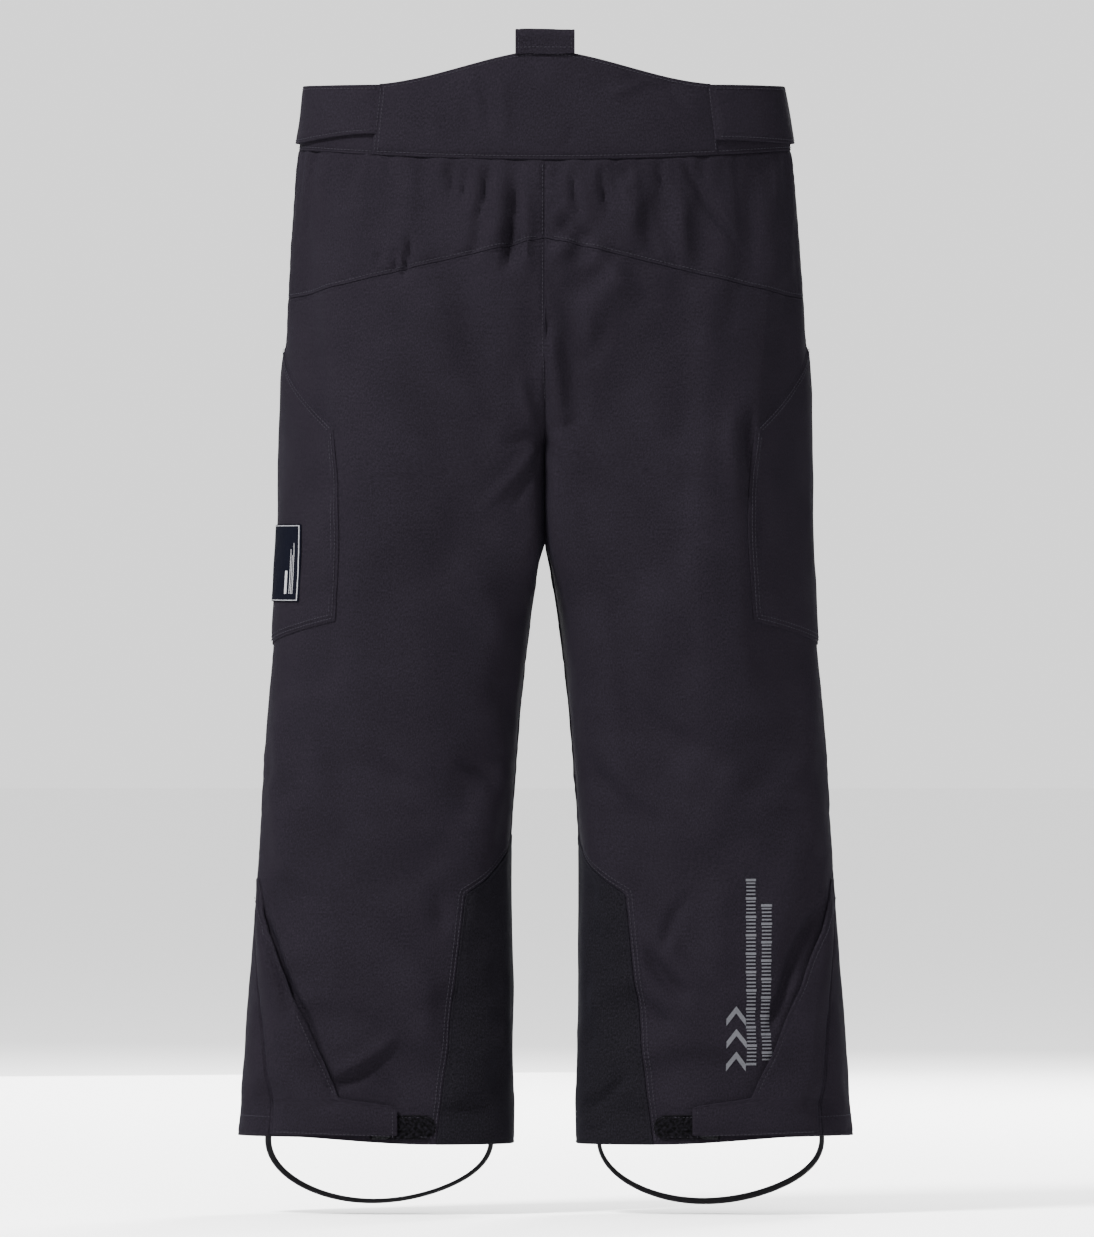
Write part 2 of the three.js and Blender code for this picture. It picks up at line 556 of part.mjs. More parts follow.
// The cargo pocket is a patch over the outseam with a roof-shaped top and a pointed foot.
function cargoPockets() {
  const towardsSide = (s) => 1 - clamp(Math.abs(s - 0.5) / 0.16, 0, 1);
  const patch = panel({
    columns: 12, rows: 6, gap: 0, inner: CARGO.inner, outer: CARGO.outer,
    top: (s) => lerp(CARGO.cornerTop, CARGO.top, towardsSide(s)),
    bottom: (s) => lerp(CARGO.cornerFoot, CARGO.foot, towardsSide(s)),
    left: constant(CARGO.rear), right: constant(CARGO.front),
  });
  addPair("cargo_pocket", cut(patch, zipSlot(CARGO_LINE)));
  add("side_label", panel({
    columns: 3, rows: 3, top: constant(-312), bottom: constant(-366),
    left: constant(0.405), right: constant(0.525), inner: LABEL_STANDS, outer: LABEL_STANDS + 0.7, gap: 0,
  }), "label");
}

waistBands();
waistStraps();
backLoop();
waistClosure();
upperLegs();
kneeFolds();
lowerLegs();
gaiters();
cuffs();
stirrups();
flyPieces();
zips();
cargoPockets();

export default garment;
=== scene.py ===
import json
import math

import bpy
import numpy as np
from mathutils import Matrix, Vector


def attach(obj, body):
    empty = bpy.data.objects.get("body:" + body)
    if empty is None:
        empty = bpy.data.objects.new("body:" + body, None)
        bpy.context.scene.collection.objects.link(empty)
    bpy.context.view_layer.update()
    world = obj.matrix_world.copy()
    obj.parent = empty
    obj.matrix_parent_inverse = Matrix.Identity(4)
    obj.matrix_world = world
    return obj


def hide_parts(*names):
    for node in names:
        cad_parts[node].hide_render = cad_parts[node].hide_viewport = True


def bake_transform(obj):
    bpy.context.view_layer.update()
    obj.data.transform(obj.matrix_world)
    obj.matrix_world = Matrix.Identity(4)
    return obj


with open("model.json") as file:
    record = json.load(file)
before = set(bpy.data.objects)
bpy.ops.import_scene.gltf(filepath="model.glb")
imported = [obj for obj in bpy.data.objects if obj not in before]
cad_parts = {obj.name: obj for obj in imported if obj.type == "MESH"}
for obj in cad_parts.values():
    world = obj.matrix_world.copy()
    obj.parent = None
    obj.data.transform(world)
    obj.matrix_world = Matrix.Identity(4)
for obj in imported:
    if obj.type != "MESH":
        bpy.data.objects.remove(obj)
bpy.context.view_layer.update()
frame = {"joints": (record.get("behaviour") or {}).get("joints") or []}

MM = 0.001
NAME = {1: "left", -1: "right"}
SIDES = (1, -1)

# ---- Camera ----

FRAME_HEIGHT = 878.3  # what the picture's long side spans at the pants
FRAME_CENTRE = (-1.4, -378.0)  # x and z
CAMERA_DISTANCE = 12000.0
SENSOR = 36.0


def make_camera():
    """Level, behind the wearer, on a long lens."""
    data = bpy.data.cameras.new("camera")
    data.sensor_width = SENSOR
    data.lens = SENSOR * CAMERA_DISTANCE / FRAME_HEIGHT
    data.clip_end = 100.0
    camera = bpy.data.objects.new("camera", data)
    camera.location = (FRAME_CENTRE[0] * MM, CAMERA_DISTANCE * MM, FRAME_CENTRE[1] * MM)
    camera.rotation_euler = (math.pi / 2, 0, math.pi)
    bpy.context.scene.collection.objects.link(camera)
    bpy.context.scene.camera = camera


make_camera()

# ---- Materials ----

BLACK_SHELL = (0.0062, 0.0052, 0.0072)
CANVAS = (0.0046, 0.0042, 0.0054)
LINING = (0.020, 0.021, 0.026)
ELASTIC = (0.0160, 0.0152, 0.0170)
THREAD_GREY = (0.0150, 0.0136, 0.0170)
NAVY = (0.0022, 0.0024, 0.0046)
PALE = (0.20, 0.20, 0.21)
INK = (0.035, 0.035, 0.041)
BLUISH = (0.62, 0.66, 1.0, 1.0)


class Nodes:
    """A material's node tree, with short ways to add and join nodes."""

    def __init__(self, name):
        self.material = bpy.data.materials.new(name)
        self.material.use_nodes = True
        self.tree = self.material.node_tree
        self.shader = self.tree.nodes["Principled BSDF"]

    def add(self, kind, inputs=None, **settings):
        node = self.tree.nodes.new("ShaderNode" + kind)
        for key, value in settings.items():
            setattr(node, key, value)
        for key, value in (inputs or {}).items():
            self.feed(node.inputs[key], value)
        return node

    def feed(self, socket, value):
        if isinstance(value, bpy.types.NodeSocket):
            self.tree.links.new(value, socket)
        else:
            socket.default_value = value

    def set(self, **values):
        """Constants on the shader, with _ for each space in a socket's name."""
        for key, value in values.items():
            self.shader.inputs[key.replace("_", " ")].default_value = value

    def math(self, operation, a, b=0.0):
        return self.add("Math", {0: a, 1: b}, operation=operation).outputs[0]

    def wave(self, value, pitch):
        """A sine of a distance in metres, which repeats every pitch mm."""
        return self.math("SINE", self.math("MULTIPLY", value, 2 * math.pi / (pitch * MM)))

    def cloth_place(self):
        """The place on the cloth in metres, which stays with the cloth as it bends."""
        return self.add("UVMap", uv_map="cloth").outputs["UV"]

    def cloth_axes(self, place):
        split = self.add("SeparateXYZ", {0: place})
        return split.outputs["X"], split.outputs["Y"]

    def noise(self, vector, scale, detail=2.0):
        return self.add("TexNoise", {"Vector": vector, "Scale": scale, "Detail": detail}).outputs["Fac"]

    def vary(self, noise, to_low, to_high, low=0.3, high=0.7):
        """A value from to_low to to_high, for a noise that lies mostly between low and high."""
        inputs = {"Value": noise, "From Min": low, "From Max": high, "To Min": to_low, "To Max": to_high}
        return self.add("MapRange", inputs).outputs["Result"]

    def shaded(self, colour, shade):
        """colour made lighter or darker by shade, which is 1 on average."""
        grey = self.add("CombineColor", {"Red": shade, "Green": shade, "Blue": shade}).outputs[0]
        mix = self.add("Mix", data_type="RGBA", blend_type="MULTIPLY")
        self.feed(mix.inputs["Factor"], 1.0)
        self.feed(mix.inputs[6], (*colour, 1.0))
        self.feed(mix.inputs[7], grey)
        return mix.outputs[2]

    def bump(self, height, distance, strength, below=None):
        """A bump distance mm high, over the one below."""
        inputs = {"Height": height, "Distance": distance * MM, "Strength": strength}
        if below is not None:
            inputs["Normal"] = below
        return self.add("Bump", inputs).outputs["Normal"]


def fabric(name, colour, pitch, mottle=0.25, roughness=0.8, sheen=0.004, relief=0.5, gloss=0.006):
    """Woven cloth. pitch is how far apart its yarns are in mm, and mottle how unevenly they took the dye."""
    n = Nodes(name)
    place = n.cloth_place()
    u, v = n.cloth_axes(place)
    weave = n.math("MULTIPLY", n.wave(u, pitch), n.wave(v, pitch))
    stretched = n.add("Mapping", {"Vector": place, "Scale": (1.0, 0.45, 1.0)}).outputs[0]
    yarn = n.noise(stretched, 1300.0)
    cloud = n.noise(place, 26.0, 3.0)
    fleck = n.noise(place, 800.0)
    uneven = n.math("MULTIPLY", n.vary(yarn, 1 - mottle, 1 + mottle),
                    n.vary(fleck, 1 - 0.7 * mottle, 1 + 0.7 * mottle))
    shade = n.math("MULTIPLY", uneven, n.vary(cloud, 0.93, 1.07))
    n.feed(n.shader.inputs["Base Color"], n.shaded(colour, shade))
    n.feed(n.shader.inputs["Roughness"], n.vary(yarn, roughness - 0.06, roughness + 0.06))
    crinkle = n.bump(n.noise(place, 140.0, 4.0), 0.6, 0.35 * relief)
    n.feed(n.shader.inputs["Normal"], n.bump(weave, 0.12, relief, crinkle))
    n.set(Sheen_Weight=sheen, Sheen_Roughness=0.4, Sheen_Tint=BLUISH, Specular_IOR_Level=gloss)
    return n.material


def ribbed(name, colour, pitch):
    """Elastic or tape with ribs along it."""
    n = Nodes(name)
    place = n.cloth_place()
    u, _ = n.cloth_axes(place)
    fleck = n.noise(place, 1500.0)
    n.feed(n.shader.inputs["Base Color"], n.shaded(colour, n.vary(fleck, 0.75, 1.25)))
    n.feed(n.shader.inputs["Roughness"], n.vary(fleck, 0.8, 0.95))
    n.feed(n.shader.inputs["Normal"], n.bump(n.wave(u, pitch), 0.3, 0.7, n.bump(fleck, 0.2, 0.4)))
    n.set(Sheen_Weight=0.01, Specular_IOR_Level=0.0)
    return n.material


def nap(name, colour, scale):
    """The fuzzy or hooked face of a hook-and-loop tape."""
    n = Nodes(name)
    fuzz = n.noise(n.cloth_place(), scale, 3.0)
    n.feed(n.shader.inputs["Base Color"], n.shaded(colour, n.vary(fuzz, 0.3, 3.6, 0.42, 0.62)))
    n.feed(n.shader.inputs["Normal"], n.bump(fuzz, 0.9, 1.0))
    n.set(Roughness=0.9, Sheen_Weight=0.01, Specular_IOR_Level=0.03)
    return n.material


def moulded(name, colour, roughness, metallic=0.0, gloss=0.4):
    """Metal, plastic or paint with a fine grain, placed by the object's own coordinates."""
    n = Nodes(name)
    grain = n.noise(n.add("TexCoord").outputs["Object"], 900.0)
    n.feed(n.shader.inputs["Base Color"], n.shaded(colour, n.vary(grain, 0.9, 1.1)))
    n.feed(n.shader.inputs["Roughness"], n.vary(grain, roughness - 0.07, roughness + 0.07))
    n.feed(n.shader.inputs["Normal"], n.bump(grain, 0.1, 0.3))
    n.set(Metallic=metallic, Specular_IOR_Level=gloss)
    return n.material


BADGE_BORDER = (0.012, 0.020)  # its outer and inner line
BADGE_BARS = ((0.60, 0.90, 0.24, 0.29), (0.24, 0.90, 0.12, 0.13), (0.40, 0.90, 0.15, 0.16),
              (0.32, 0.90, 0.18, 0.19))


def badge(name):
    """The woven label: a pale border and plain pale bars on navy. Its cloth coordinates run from 0 to 1."""
    n = Nodes(name)
    u, v = n.cloth_axes(n.cloth_place())

    def within(value, low, high):
        return n.math("MULTIPLY", n.math("GREATER_THAN", value, low), n.math("LESS_THAN", value, high))

    frames = [n.math("MULTIPLY", within(u, 2 * edge, 1 - 2 * edge), within(v, edge, 1 - edge))
              for edge in BADGE_BORDER]
    pale = n.math("SUBTRACT", *frames)
    for left, right, low, high in BADGE_BARS:
        pale = n.math("ADD", pale, n.math("MULTIPLY", within(v, left, right), within(u, low, high)))
    mix = n.add("Mix", data_type="RGBA")
    n.feed(mix.inputs["Factor"], pale)
    n.feed(mix.inputs[6], (*NAVY, 1.0))
    n.feed(mix.inputs[7], (*PALE, 1.0))
    n.feed(n.shader.inputs["Base Color"], mix.outputs[2])
    thread = n.math("SINE", n.math("MULTIPLY", v, 520.0))
    n.feed(n.shader.inputs["Normal"], n.bump(thread, 0.2, 0.6))
    n.set(Roughness=0.95, Specular_IOR_Level=0.01)
    return n.material


SHELL = fabric("shell_fabric", BLACK_SHELL, pitch=0.5, mottle=0.3)
CANVAS_CLOTH = fabric("scuff_canvas", CANVAS, pitch=0.9, mottle=0.5, roughness=0.85, sheen=0.006, relief=1.0)
LINING_CLOTH = fabric("lining_fabric", LINING, pitch=0.4, mottle=0.1, roughness=0.45, sheen=0.1, relief=0.3)
THREAD = fabric("thread", THREAD_GREY, pitch=0.4, mottle=0.2, roughness=0.7, sheen=0.03)
BAND_ELASTIC = ribbed("elastic", ELASTIC, 1.1)
ZIP_TAPE = ribbed("zip_tape", CANVAS, 0.8)
LOOP_NAP = nap("loop_nap", (0.0008, 0.0007, 0.0010), 480.0)
HOOK_NAP = nap("hook_nap", (0.004, 0.004, 0.0045), 1600.0)
METAL = moulded("gunmetal", (0.030, 0.030, 0.033), 0.4, metallic=0.9)
TEETH = moulded("zip_teeth", (0.009, 0.009, 0.010), 0.45, gloss=0.12)
GRIP = moulded("pull_grip", (0.008, 0.008, 0.009), 0.5)
PRINT = moulded("print_ink", INK, 0.5, gloss=0.2)
BADGE = badge("badge")

# ---- The garment's shape ----

HEM_Z, HEM_RISE = -750.0, 6.0
WAIST_SEAM_Z, WAIST_SEAM_DIP = -46.0, 8.0
BACK_RISE, BACK_BAND_HALF = 24.0, 117.0
YOKE_Z, YOKE_DROP = -109.0, 42.0
FORK_Z, FORK_TOP_Z = -256.0, -150.0
SEAT_Z, LEG_Z = -110.0, -330.0  # the section turns from half a seat into a closed leg between these
SEAM_REACH = 0.09  # how far round from the centre seams the section turns at the fork instead
TOUCH_Z = -318.0  # the legs press together down to here
OUTSEAM_TURN_Z, OUTSEAM_TURN = -545.0, 0.113
SECTION_LENGTH = 500.0  # about the way round a leg, which turns a width into s
# Powers below 1 make the back of a leg lie flatter towards the inseam, the most where the legs touch.
INNER_FLATNESS, TOUCHING_FLATNESS = 0.6, 0.2

# The garment at a few heights: z, the outer and inner edge of a leg, and the depth behind and in front.
STATIONS = np.array([
    [40, 161, 0.4, 60, 58],
    [-60, 176.5, 0.4, 68, 62],
    [-160, 183.5, 0.4, 80, 64],
    [-256, 187, 0.4, 80, 68],
    [-318, 187.5, 1, 75, 69],
    [-370, 190, 8.5, 70, 69],
    [-435, 196, 16.5, 62, 68],
    [-480, 199.5, 20.5, 58, 67],
    [-540, 203, 24.6, 56, 64],
    [-650, 210.5, 22.8, 58, 60],
    [-760, 219.5, 22, 62, 60],
])


def lerp(a, b, t):
    return a + (b - a) * t


def smooth(value, low, high):
    t = np.clip((np.asarray(value, float) - low) / (high - low), 0, 1)
    return t * t * (3 - 2 * t)


def bell(value, width):
    return np.exp(-((value / width) ** 2))


def unit(v):
    return v / np.linalg.norm(v, axis=-1, keepdims=True)


def constant(value):
    return lambda at: np.full_like(np.asarray(at, float), value)


def stations(z):
    """The outer and inner edges and the two depths at height z, on smooth curves through the stations."""
    heights = STATIONS[:, 0]
    i = np.clip(np.searchsorted(-heights, -np.asarray(z, float), side="right") - 1, 0, len(STATIONS) - 2)
    a, b = STATIONS[i], STATIONS[i + 1]
    before, after = STATIONS[np.maximum(i - 1, 0)], STATIONS[np.minimum(i + 2, len(STATIONS) - 1)]
    span = (b - a)[..., :1]
    t = (np.asarray(z, float)[..., None] - a[..., :1]) / span
    slope_a = (b - before) / (b - before)[..., :1] * span
    slope_b = (after - a) / (after - a)[..., :1] * span
    value = (
        (2 * t**3 - 3 * t**2 + 1) * a + (t**3 - 2 * t**2 + t) * slope_a
        + (3 * t**2 - 2 * t**3) * b + (t**3 - t**2) * slope_b
    )
    return value[..., 1], value[..., 2], value[..., 3], value[..., 4]


def leg_share(s, z):
    """How far the section has turned from half a seat (0) into a closed leg (1)."""
    whole = smooth(-z, -SEAT_Z, -LEG_Z)
    t = np.clip((FORK_TOP_Z - z) / (FORK_TOP_Z - FORK_Z), 0, 1)
    seam = 1 - np.sqrt(1 - t * t)
    return lerp(whole, seam, bell(s - np.round(s), SEAM_REACH))


def skin(s, z):
    """The plain skin of the wearer's left half, without folds."""
    s, z = np.broadcast_arrays(np.asarray(s, float), np.asarray(z, float))
    out, inner, back, front = stations(z)
    angle = 2 * np.pi * s
    seat_y, leg_y, share = np.cos(angle / 2), np.sin(angle), leg_share(s, z)
    inner_back = (s > 0) & (s < 0.25)
    flatness = lerp(INNER_FLATNESS, TOUCHING_FLATNESS, smooth(z, TOUCH_Z - 60, TOUCH_Z))
    leg_y = np.where(inner_back, np.abs(leg_y) ** flatness, leg_y)
    leg_x = (out + inner) / 2 - (out - inner) / 2 * np.cos(angle)
    x = lerp(out * np.sin(angle / 2), leg_x, share)
    y = lerp(seat_y * np.where(seat_y > 0, back, front), leg_y * np.where(leg_y > 0, back, front), share)
    return np.stack([x, y, z], axis=-1)


def normals(s, z):
    return unit(np.cross(skin(s, z + 1) - skin(s, z - 1), skin(s + 0.002, z) - skin(s - 0.002, z)))


def raised(s, z, offset):
    return skin(s, z) + normals(s, z) * offset


def reach(s, z):
    """How many mm one whole s is worth at this place."""
    return np.linalg.norm(skin(s + 0.002, z) - skin(s - 0.002, z), axis=-1) / 0.004


def waist_s(x, z, front=False):
    """The s at which x is reached above the crotch."""
    half = np.arcsin(np.clip(x / stations(z)[0], -1, 1)) / np.pi
    return 1 - half if front else half


def upright(x):
    """A panel's edge that keeps to x in front, as a function of z."""
    return lambda z: waist_s(np.full_like(np.asarray(z, float), x), z, front=True)


def shin_s(x, z):
    """The s behind a lower leg at which x is reached."""
    out, inner, _, _ = stations(z)
    return np.arccos(np.clip(((out + inner) / 2 - x) / ((out - inner) / 2), -1, 1)) / (2 * np.pi)


def along(points, z):
    """The value at height z of a list of (z, value), which runs downwards."""
    heights, values = np.array(points, float).T
    return np.interp(-np.asarray(z, float), -heights, values)


def waist_seam(s):
    return WAIST_SEAM_Z - WAIST_SEAM_DIP * np.maximum(0, np.cos(np.pi * s)) ** 2


def yoke_seam(s):
    return YOKE_Z - YOKE_DROP * np.sin(np.pi * s)


def hem(s):
    return HEM_Z + HEM_RISE * np.sin(np.pi * s) ** 2


def outseam(z):
    t = np.clip((OUTSEAM_TURN_Z - z) / (OUTSEAM_TURN_Z - HEM_Z), 0, 1)
    return 0.5 - OUTSEAM_TURN * (1 - (1 - t) ** 1.5)


GUARD = [(-531, 0.0), (-537, 0.004), (-573, 0.139), (-650, 0.156), (HEM_Z, 0.176)]


GUARD_ROWS = [z for z, _ in GUARD]
LINING_FOOT = -612.0


def guard_half(z):
    """The s at which the scuff guard ends on either side of the inseam."""
    return along(GUARD, z)


# ---- Folds ----

class Noise:
    """Smooth random values over a plane, about -1 to 1, with features one unit across."""

    SIZE = 64
    LAYERS = ((0.0, 0.0), (1.1, 17.3))  # each layer's turn and shift

    def __init__(self, seed):
        self.table = np.random.RandomState(seed).uniform(-1, 1, (self.SIZE, self.SIZE))

    def layer(self, a, b):
        i, j = np.floor(a).astype(int), np.floor(b).astype(int)
        f, g = smooth(a - i, 0, 1), smooth(b - j, 0, 1)

        def corner(di, dj):
            return self.table[(i + di) % self.SIZE, (j + dj) % self.SIZE]

        return lerp(lerp(corner(0, 0), corner(1, 0), f), lerp(corner(0, 1), corner(1, 1), f), g)

    def __call__(self, u, v):
        total = 0
        for turn, shift in self.LAYERS:
            a = u * math.cos(turn) - v * math.sin(turn) + shift
            b = u * math.sin(turn) + v * math.cos(turn) + shift
            total = total + self.layer(a, b)
        return total / 1.2


BROAD, SOFT, WHERE_CRUMPLED, CRUMPLE, RIPPLE, GATHER = range(6)
SEEDS = {1: 11, -1: 61}
SEED_STEP = 7
NOISES = {(side, kind): Noise(SEEDS[side] + SEED_STEP * kind) for side in SIDES for kind in range(6)}

# Folds as lines from one (x, z) to another, then the fold's half width and height. x is the distance from
# the centre. A negative height is a valley.
BACK_FOLDS = {
    1: [
        (22, -70, 26, -128, 3.0, -3.2), (24, -100, 27, -132, 4.5, -1.8), (14, -80, 13, -135, 3, 1.4),
        (33, -70, 36, -118, 4, 2.0), (40, -56, 46, -96, 2.6, -1.9), (56, -54, 58, -84, 2.6, -1.2),
        (68, -56, 66, -82, 3, -1.0), (48, -90, 50, -124, 4, -1.2), (82, -130, 150, -365, 30, 3.0),
        (92, -380, 84, -560, 24, 2.6), (96, -108, 99, -138, 2.6, -2.2), (105, -116, 107, -136, 2.2, -1.3),
        (118, -118, 118, -130, 2.2, -0.9),
        (2, -250, 42, -300, 4, 1.3), (2, -256, 22, -300, 3, -1.0), (2, -244, 30, -256, 2.5, -0.8),
        (3, -246, 20, -205, 5, 1.6), (8, -215, 3, -245, 3, -1.2), (70, -215, 20, -262, 14, 1.8),
        (120, -250, 60, -320, 22, 3.0), (60, -340, 25, -400, 10, 1.8), (150, -420, 80, -470, 16, 2.6),
        (60, -480, 30, -500, 6, -1.8), (130, -478, 60, -520, 9, -2.2), (100, -500, 45, -545, 8, 2.2),
        (108, -684, 152, -712, 4, -3.0), (104, -672, 146, -702, 7, 2.6), (95, -620, 80, -690, 12, 2.2),
        (120, -700, 100, -722, 5, -1.8), (32, -716, 70, -728, 4, -1.0),
        (198, -590, 176, -656, 3.0, -3.2), (182, -630, 148, -716, 2.4, -1.9),
        (85, -560, 70, -600, 7, -1.4), (175, -440, 150, -520, 9, 1.8),
    ],
    -1: [
        (20, -148, 50, -120, 8, -2.8), (2, -124, 24, -104, 6, 2.2), (14, -92, 28, -112, 6, -2.6),
        (24, -200, 46, -168, 8, -1.8),
        (12, -150, 34, -200, 4.0, -1.8), (34, -112, 62, -150, 8, 2.8), (20, -60, 24, -96, 3.0, -1.8),
        (40, -56, 44, -90, 2.8, -2.0), (58, -54, 62, -86, 2.6, -1.2), (82, -52, 84, -76, 2.6, -1.2),
        (98, -54, 134, -112, 2.8, -1.6), (70, -86, 78, -120, 5, -1.8), (26, -726, 60, -702, 4, -1.8),
        (26, -740, 46, -737, 3, -1.2), (8, -165, 9, -245, 6, 2.0), (25, -118, 19, -238, 8, -2.4),
        (2, -248, 30, -262, 2.5, 0.9), (2, -254, 30, -300, 4, -1.0), (2, -243, 26, -238, 2.5, -0.9),
        (60, -64, 66, -98, 6, 1.8), (82, -72, 92, -128, 7, -1.8), (100, -80, 98, -130, 7, 1.6),
        (146, -232, 145, -276, 3.2, -2.4), (134, -230, 133, -290, 6, 1.8), (70, -220, 120, -280, 16, 2.2),
        (120, -330, 70, -420, 18, 2.4), (60, -440, 120, -480, 9, -1.8), (40, -470, 90, -520, 9, 2.0),
        (150, -470, 110, -540, 12, 2.0), (72, -612, 98, -648, 4.5, -3.2), (84, -600, 110, -640, 7, 2.2),
        (100, -575, 82, -612, 4.5, -2.2), (60, -640, 84, -668, 6, -2.0), (192, -585, 160, -664, 3.4, -3.4),
        (130, -560, 120, -640, 12, 1.6),
    ],
}
FRONT_FOLDS = {
    1: [
        (2, -246, 42, -214, 4, 2.4), (2, -250, 46, -240, 4, -2.2), (2, -256, 38, -290, 5, 2.2),
        (60, -60, 66, -120, 8, 1.6), (90, -300, 150, -350, 16, 2.2), (60, -455, 150, -470, 9, 2.4),
        (50, -492, 150, -500, 8, -2.2), (70, -520, 160, -545, 9, 2.0), (60, -680, 140, -700, 9, 1.8),
        (150, -400, 120, -450, 12, 1.8), (30, -330, 70, -400, 12, 1.8),
    ],
    -1: [
        (2, -246, 38, -216, 4, 2.2), (2, -250, 50, -246, 4, -2.2), (2, -256, 44, -284, 5, 2.4),
        (48, -60, 52, -112, 7, 1.5), (100, -310, 140, -370, 16, 2.0), (50, -462, 140, -458, 9, 2.2),
        (60, -498, 155, -488, 8, -2.0), (60, -530, 150, -548, 9, 2.2), (80, -690, 160, -680, 9, 1.6),
        (40, -340, 90, -410, 14, 1.8),
    ],
}

FOLD_GAIN = 2.2
KNEE_CREASES_Z, KNEE_CREASES_HALF = -485.0, 45.0
GATHER_DEPTH = 22.0  # how far down from the waistband the gathers die out
STIFFENED = 0.92  # how much of the folds a zip takes away
SEAM_HOLD = 4.0  # how far from a centre seam the folds start, in mm


def ridges(lines_of_folds, x, z):
    """The height at (x, z) of folds that fade out at both ends and waver a little."""
    total = np.zeros_like(x)
    for x0, z0, x1, z1, width, height in lines_of_folds:
        dx, dz = x1 - x0, z1 - z0
        length = math.hypot(dx, dz)
        t = ((x - x0) * dx + (z - z0) * dz) / length**2
        across = ((z - z0) * dx - (x - x0) * dz) / length + 0.4 * width * np.sin(4 * t)
        total += height * (1 - smooth(np.abs(2 * t - 1), 0.35, 1.35)) * bell(across, width)
    return total


def beside_line(s, z, start, end, width):
    """1 on the line between two places (s, z), falling away over width mm."""
    a = np.array([start[0] * SECTION_LENGTH, start[1]])
    b = np.array([end[0] * SECTION_LENGTH, end[1]])
    w = s * SECTION_LENGTH
    t = np.clip(((w - a[0]) * (b - a)[0] + (z - a[1]) * (b - a)[1]) / ((b - a) @ (b - a)), 0, 1)
    return bell(np.hypot(w - lerp(a[0], b[0], t), z - lerp(a[1], b[1], t)), width)


FLY_HALF, FLY_TOP, FLY_FOOT = 12.0, -48.0, -172.0
HAND_ENDS = ((0.775, -66.0), (0.69, -172.0))
CARGO_ENDS = ((0.625, -236.0), (0.63, -366.0))
STIFF_LINES = ((HAND_ENDS, 14), (CARGO_ENDS, 14), (((1.0, FLY_TOP), (1.0, FLY_FOOT)), 20))


def folds(side, s, z, n, p):
    """How far the shell stands out from the plain skin, in mm."""
    x = np.abs(p[..., 0])
    behind, before = smooth(n[..., 1], 0.05, 0.55), smooth(-n[..., 1], 0.05, 0.55)
    total = FOLD_GAIN * (behind * ridges(BACK_FOLDS[side], x, z) + before * ridges(FRONT_FOLDS[side], x, z))

    def noise(kind, u, v):
        return NOISES[side, kind](u, v)

    w = s * SECTION_LENGTH
    total += 2.6 * noise(BROAD, w / 70 + 3, z / 130) + 1.2 * noise(SOFT, w / 30, z / 70 + 9)
    crumpled = 0.5 + 0.5 * noise(WHERE_CRUMPLED, w / 120, z / 110)
    total += crumpled * (0.45 * noise(CRUMPLE, w / 13, z / 17) + 0.3 * noise(RIPPLE, w / 26 + z / 40, z / 9))
    below_waist = np.clip(waist_seam(s) - z, 0, None)
    total += 3.0 * np.exp(-below_waist / GATHER_DEPTH) * noise(GATHER, w / 9, z / 90)
    total += 0.9 * bell(z - KNEE_CREASES_Z, KNEE_CREASES_HALF) * noise(RIPPLE, w / 60, z / 13)
    for (start, end), width in STIFF_LINES:
        total *= 1 - STIFFENED * beside_line(s, z, start, end, width)
    total *= 1 - 0.6 * smooth(np.abs(n[..., 0]), 0.75, 1.0)
    total *= 0.35 + 0.65 * smooth(below_waist, -2, 12)
    from_seam = np.abs(s - np.round(s)) * SECTION_LENGTH
    return total * (1 - bell(from_seam, SEAM_HOLD))


# How far the cloth simulation moved the shell, over a grid of s and z.
SIM_COLUMNS, SIM_ROWS = 56, 88
SIM_TOP, SIM_LOW = -40.0, -752.0
moved = {side: np.zeros((SIM_ROWS + 1, SIM_COLUMNS + 1)) for side in SIDES}


def cubic_weights(f):
    return (
        -0.5 * f**3 + f**2 - 0.5 * f, 1.5 * f**3 - 2.5 * f**2 + 1,
        -1.5 * f**3 + 2 * f**2 + 0.5 * f, 0.5 * f**3 - 0.5 * f**2,
    )


def sampled(grid, s, z):
    """A grid over (s, z), read with cubic interpolation. Past either end s goes on round the leg."""
    j = np.clip((SIM_TOP - z) / (SIM_TOP - SIM_LOW), 0, 1) * SIM_ROWS
    i = np.where((s < 0) | (s > 1), np.mod(s, 1.0), s) * SIM_COLUMNS
    i0 = np.minimum(np.floor(i).astype(int), SIM_COLUMNS - 1)
    j0 = np.minimum(np.floor(j).astype(int), SIM_ROWS - 1)
    total = np.zeros(np.shape(i))
    for a, wide in enumerate(cubic_weights(i - i0)):
        for b, high in enumerate(cubic_weights(j - j0)):
            row, column = np.clip(j0 + b - 1, 0, SIM_ROWS), np.clip(i0 + a - 1, 0, SIM_COLUMNS)
            total += wide * high * grid[row, column]
    return np.where(z > SIM_TOP, 0, total)


CLOSE_UP, CLOSE_MORE = 1.1, 1.4  # draw each half's centre edge onto the other's, more where it faces it
SEAM_OVERLAP = 0.4  # how far a half may pass the middle
MOST_FOLD = 7.0
TOUCH_FADE, TOUCH_FLAT, TOUCH_DRAW = 22.0, 14.0, 12.0  # how high and how wide the touching legs are pressed


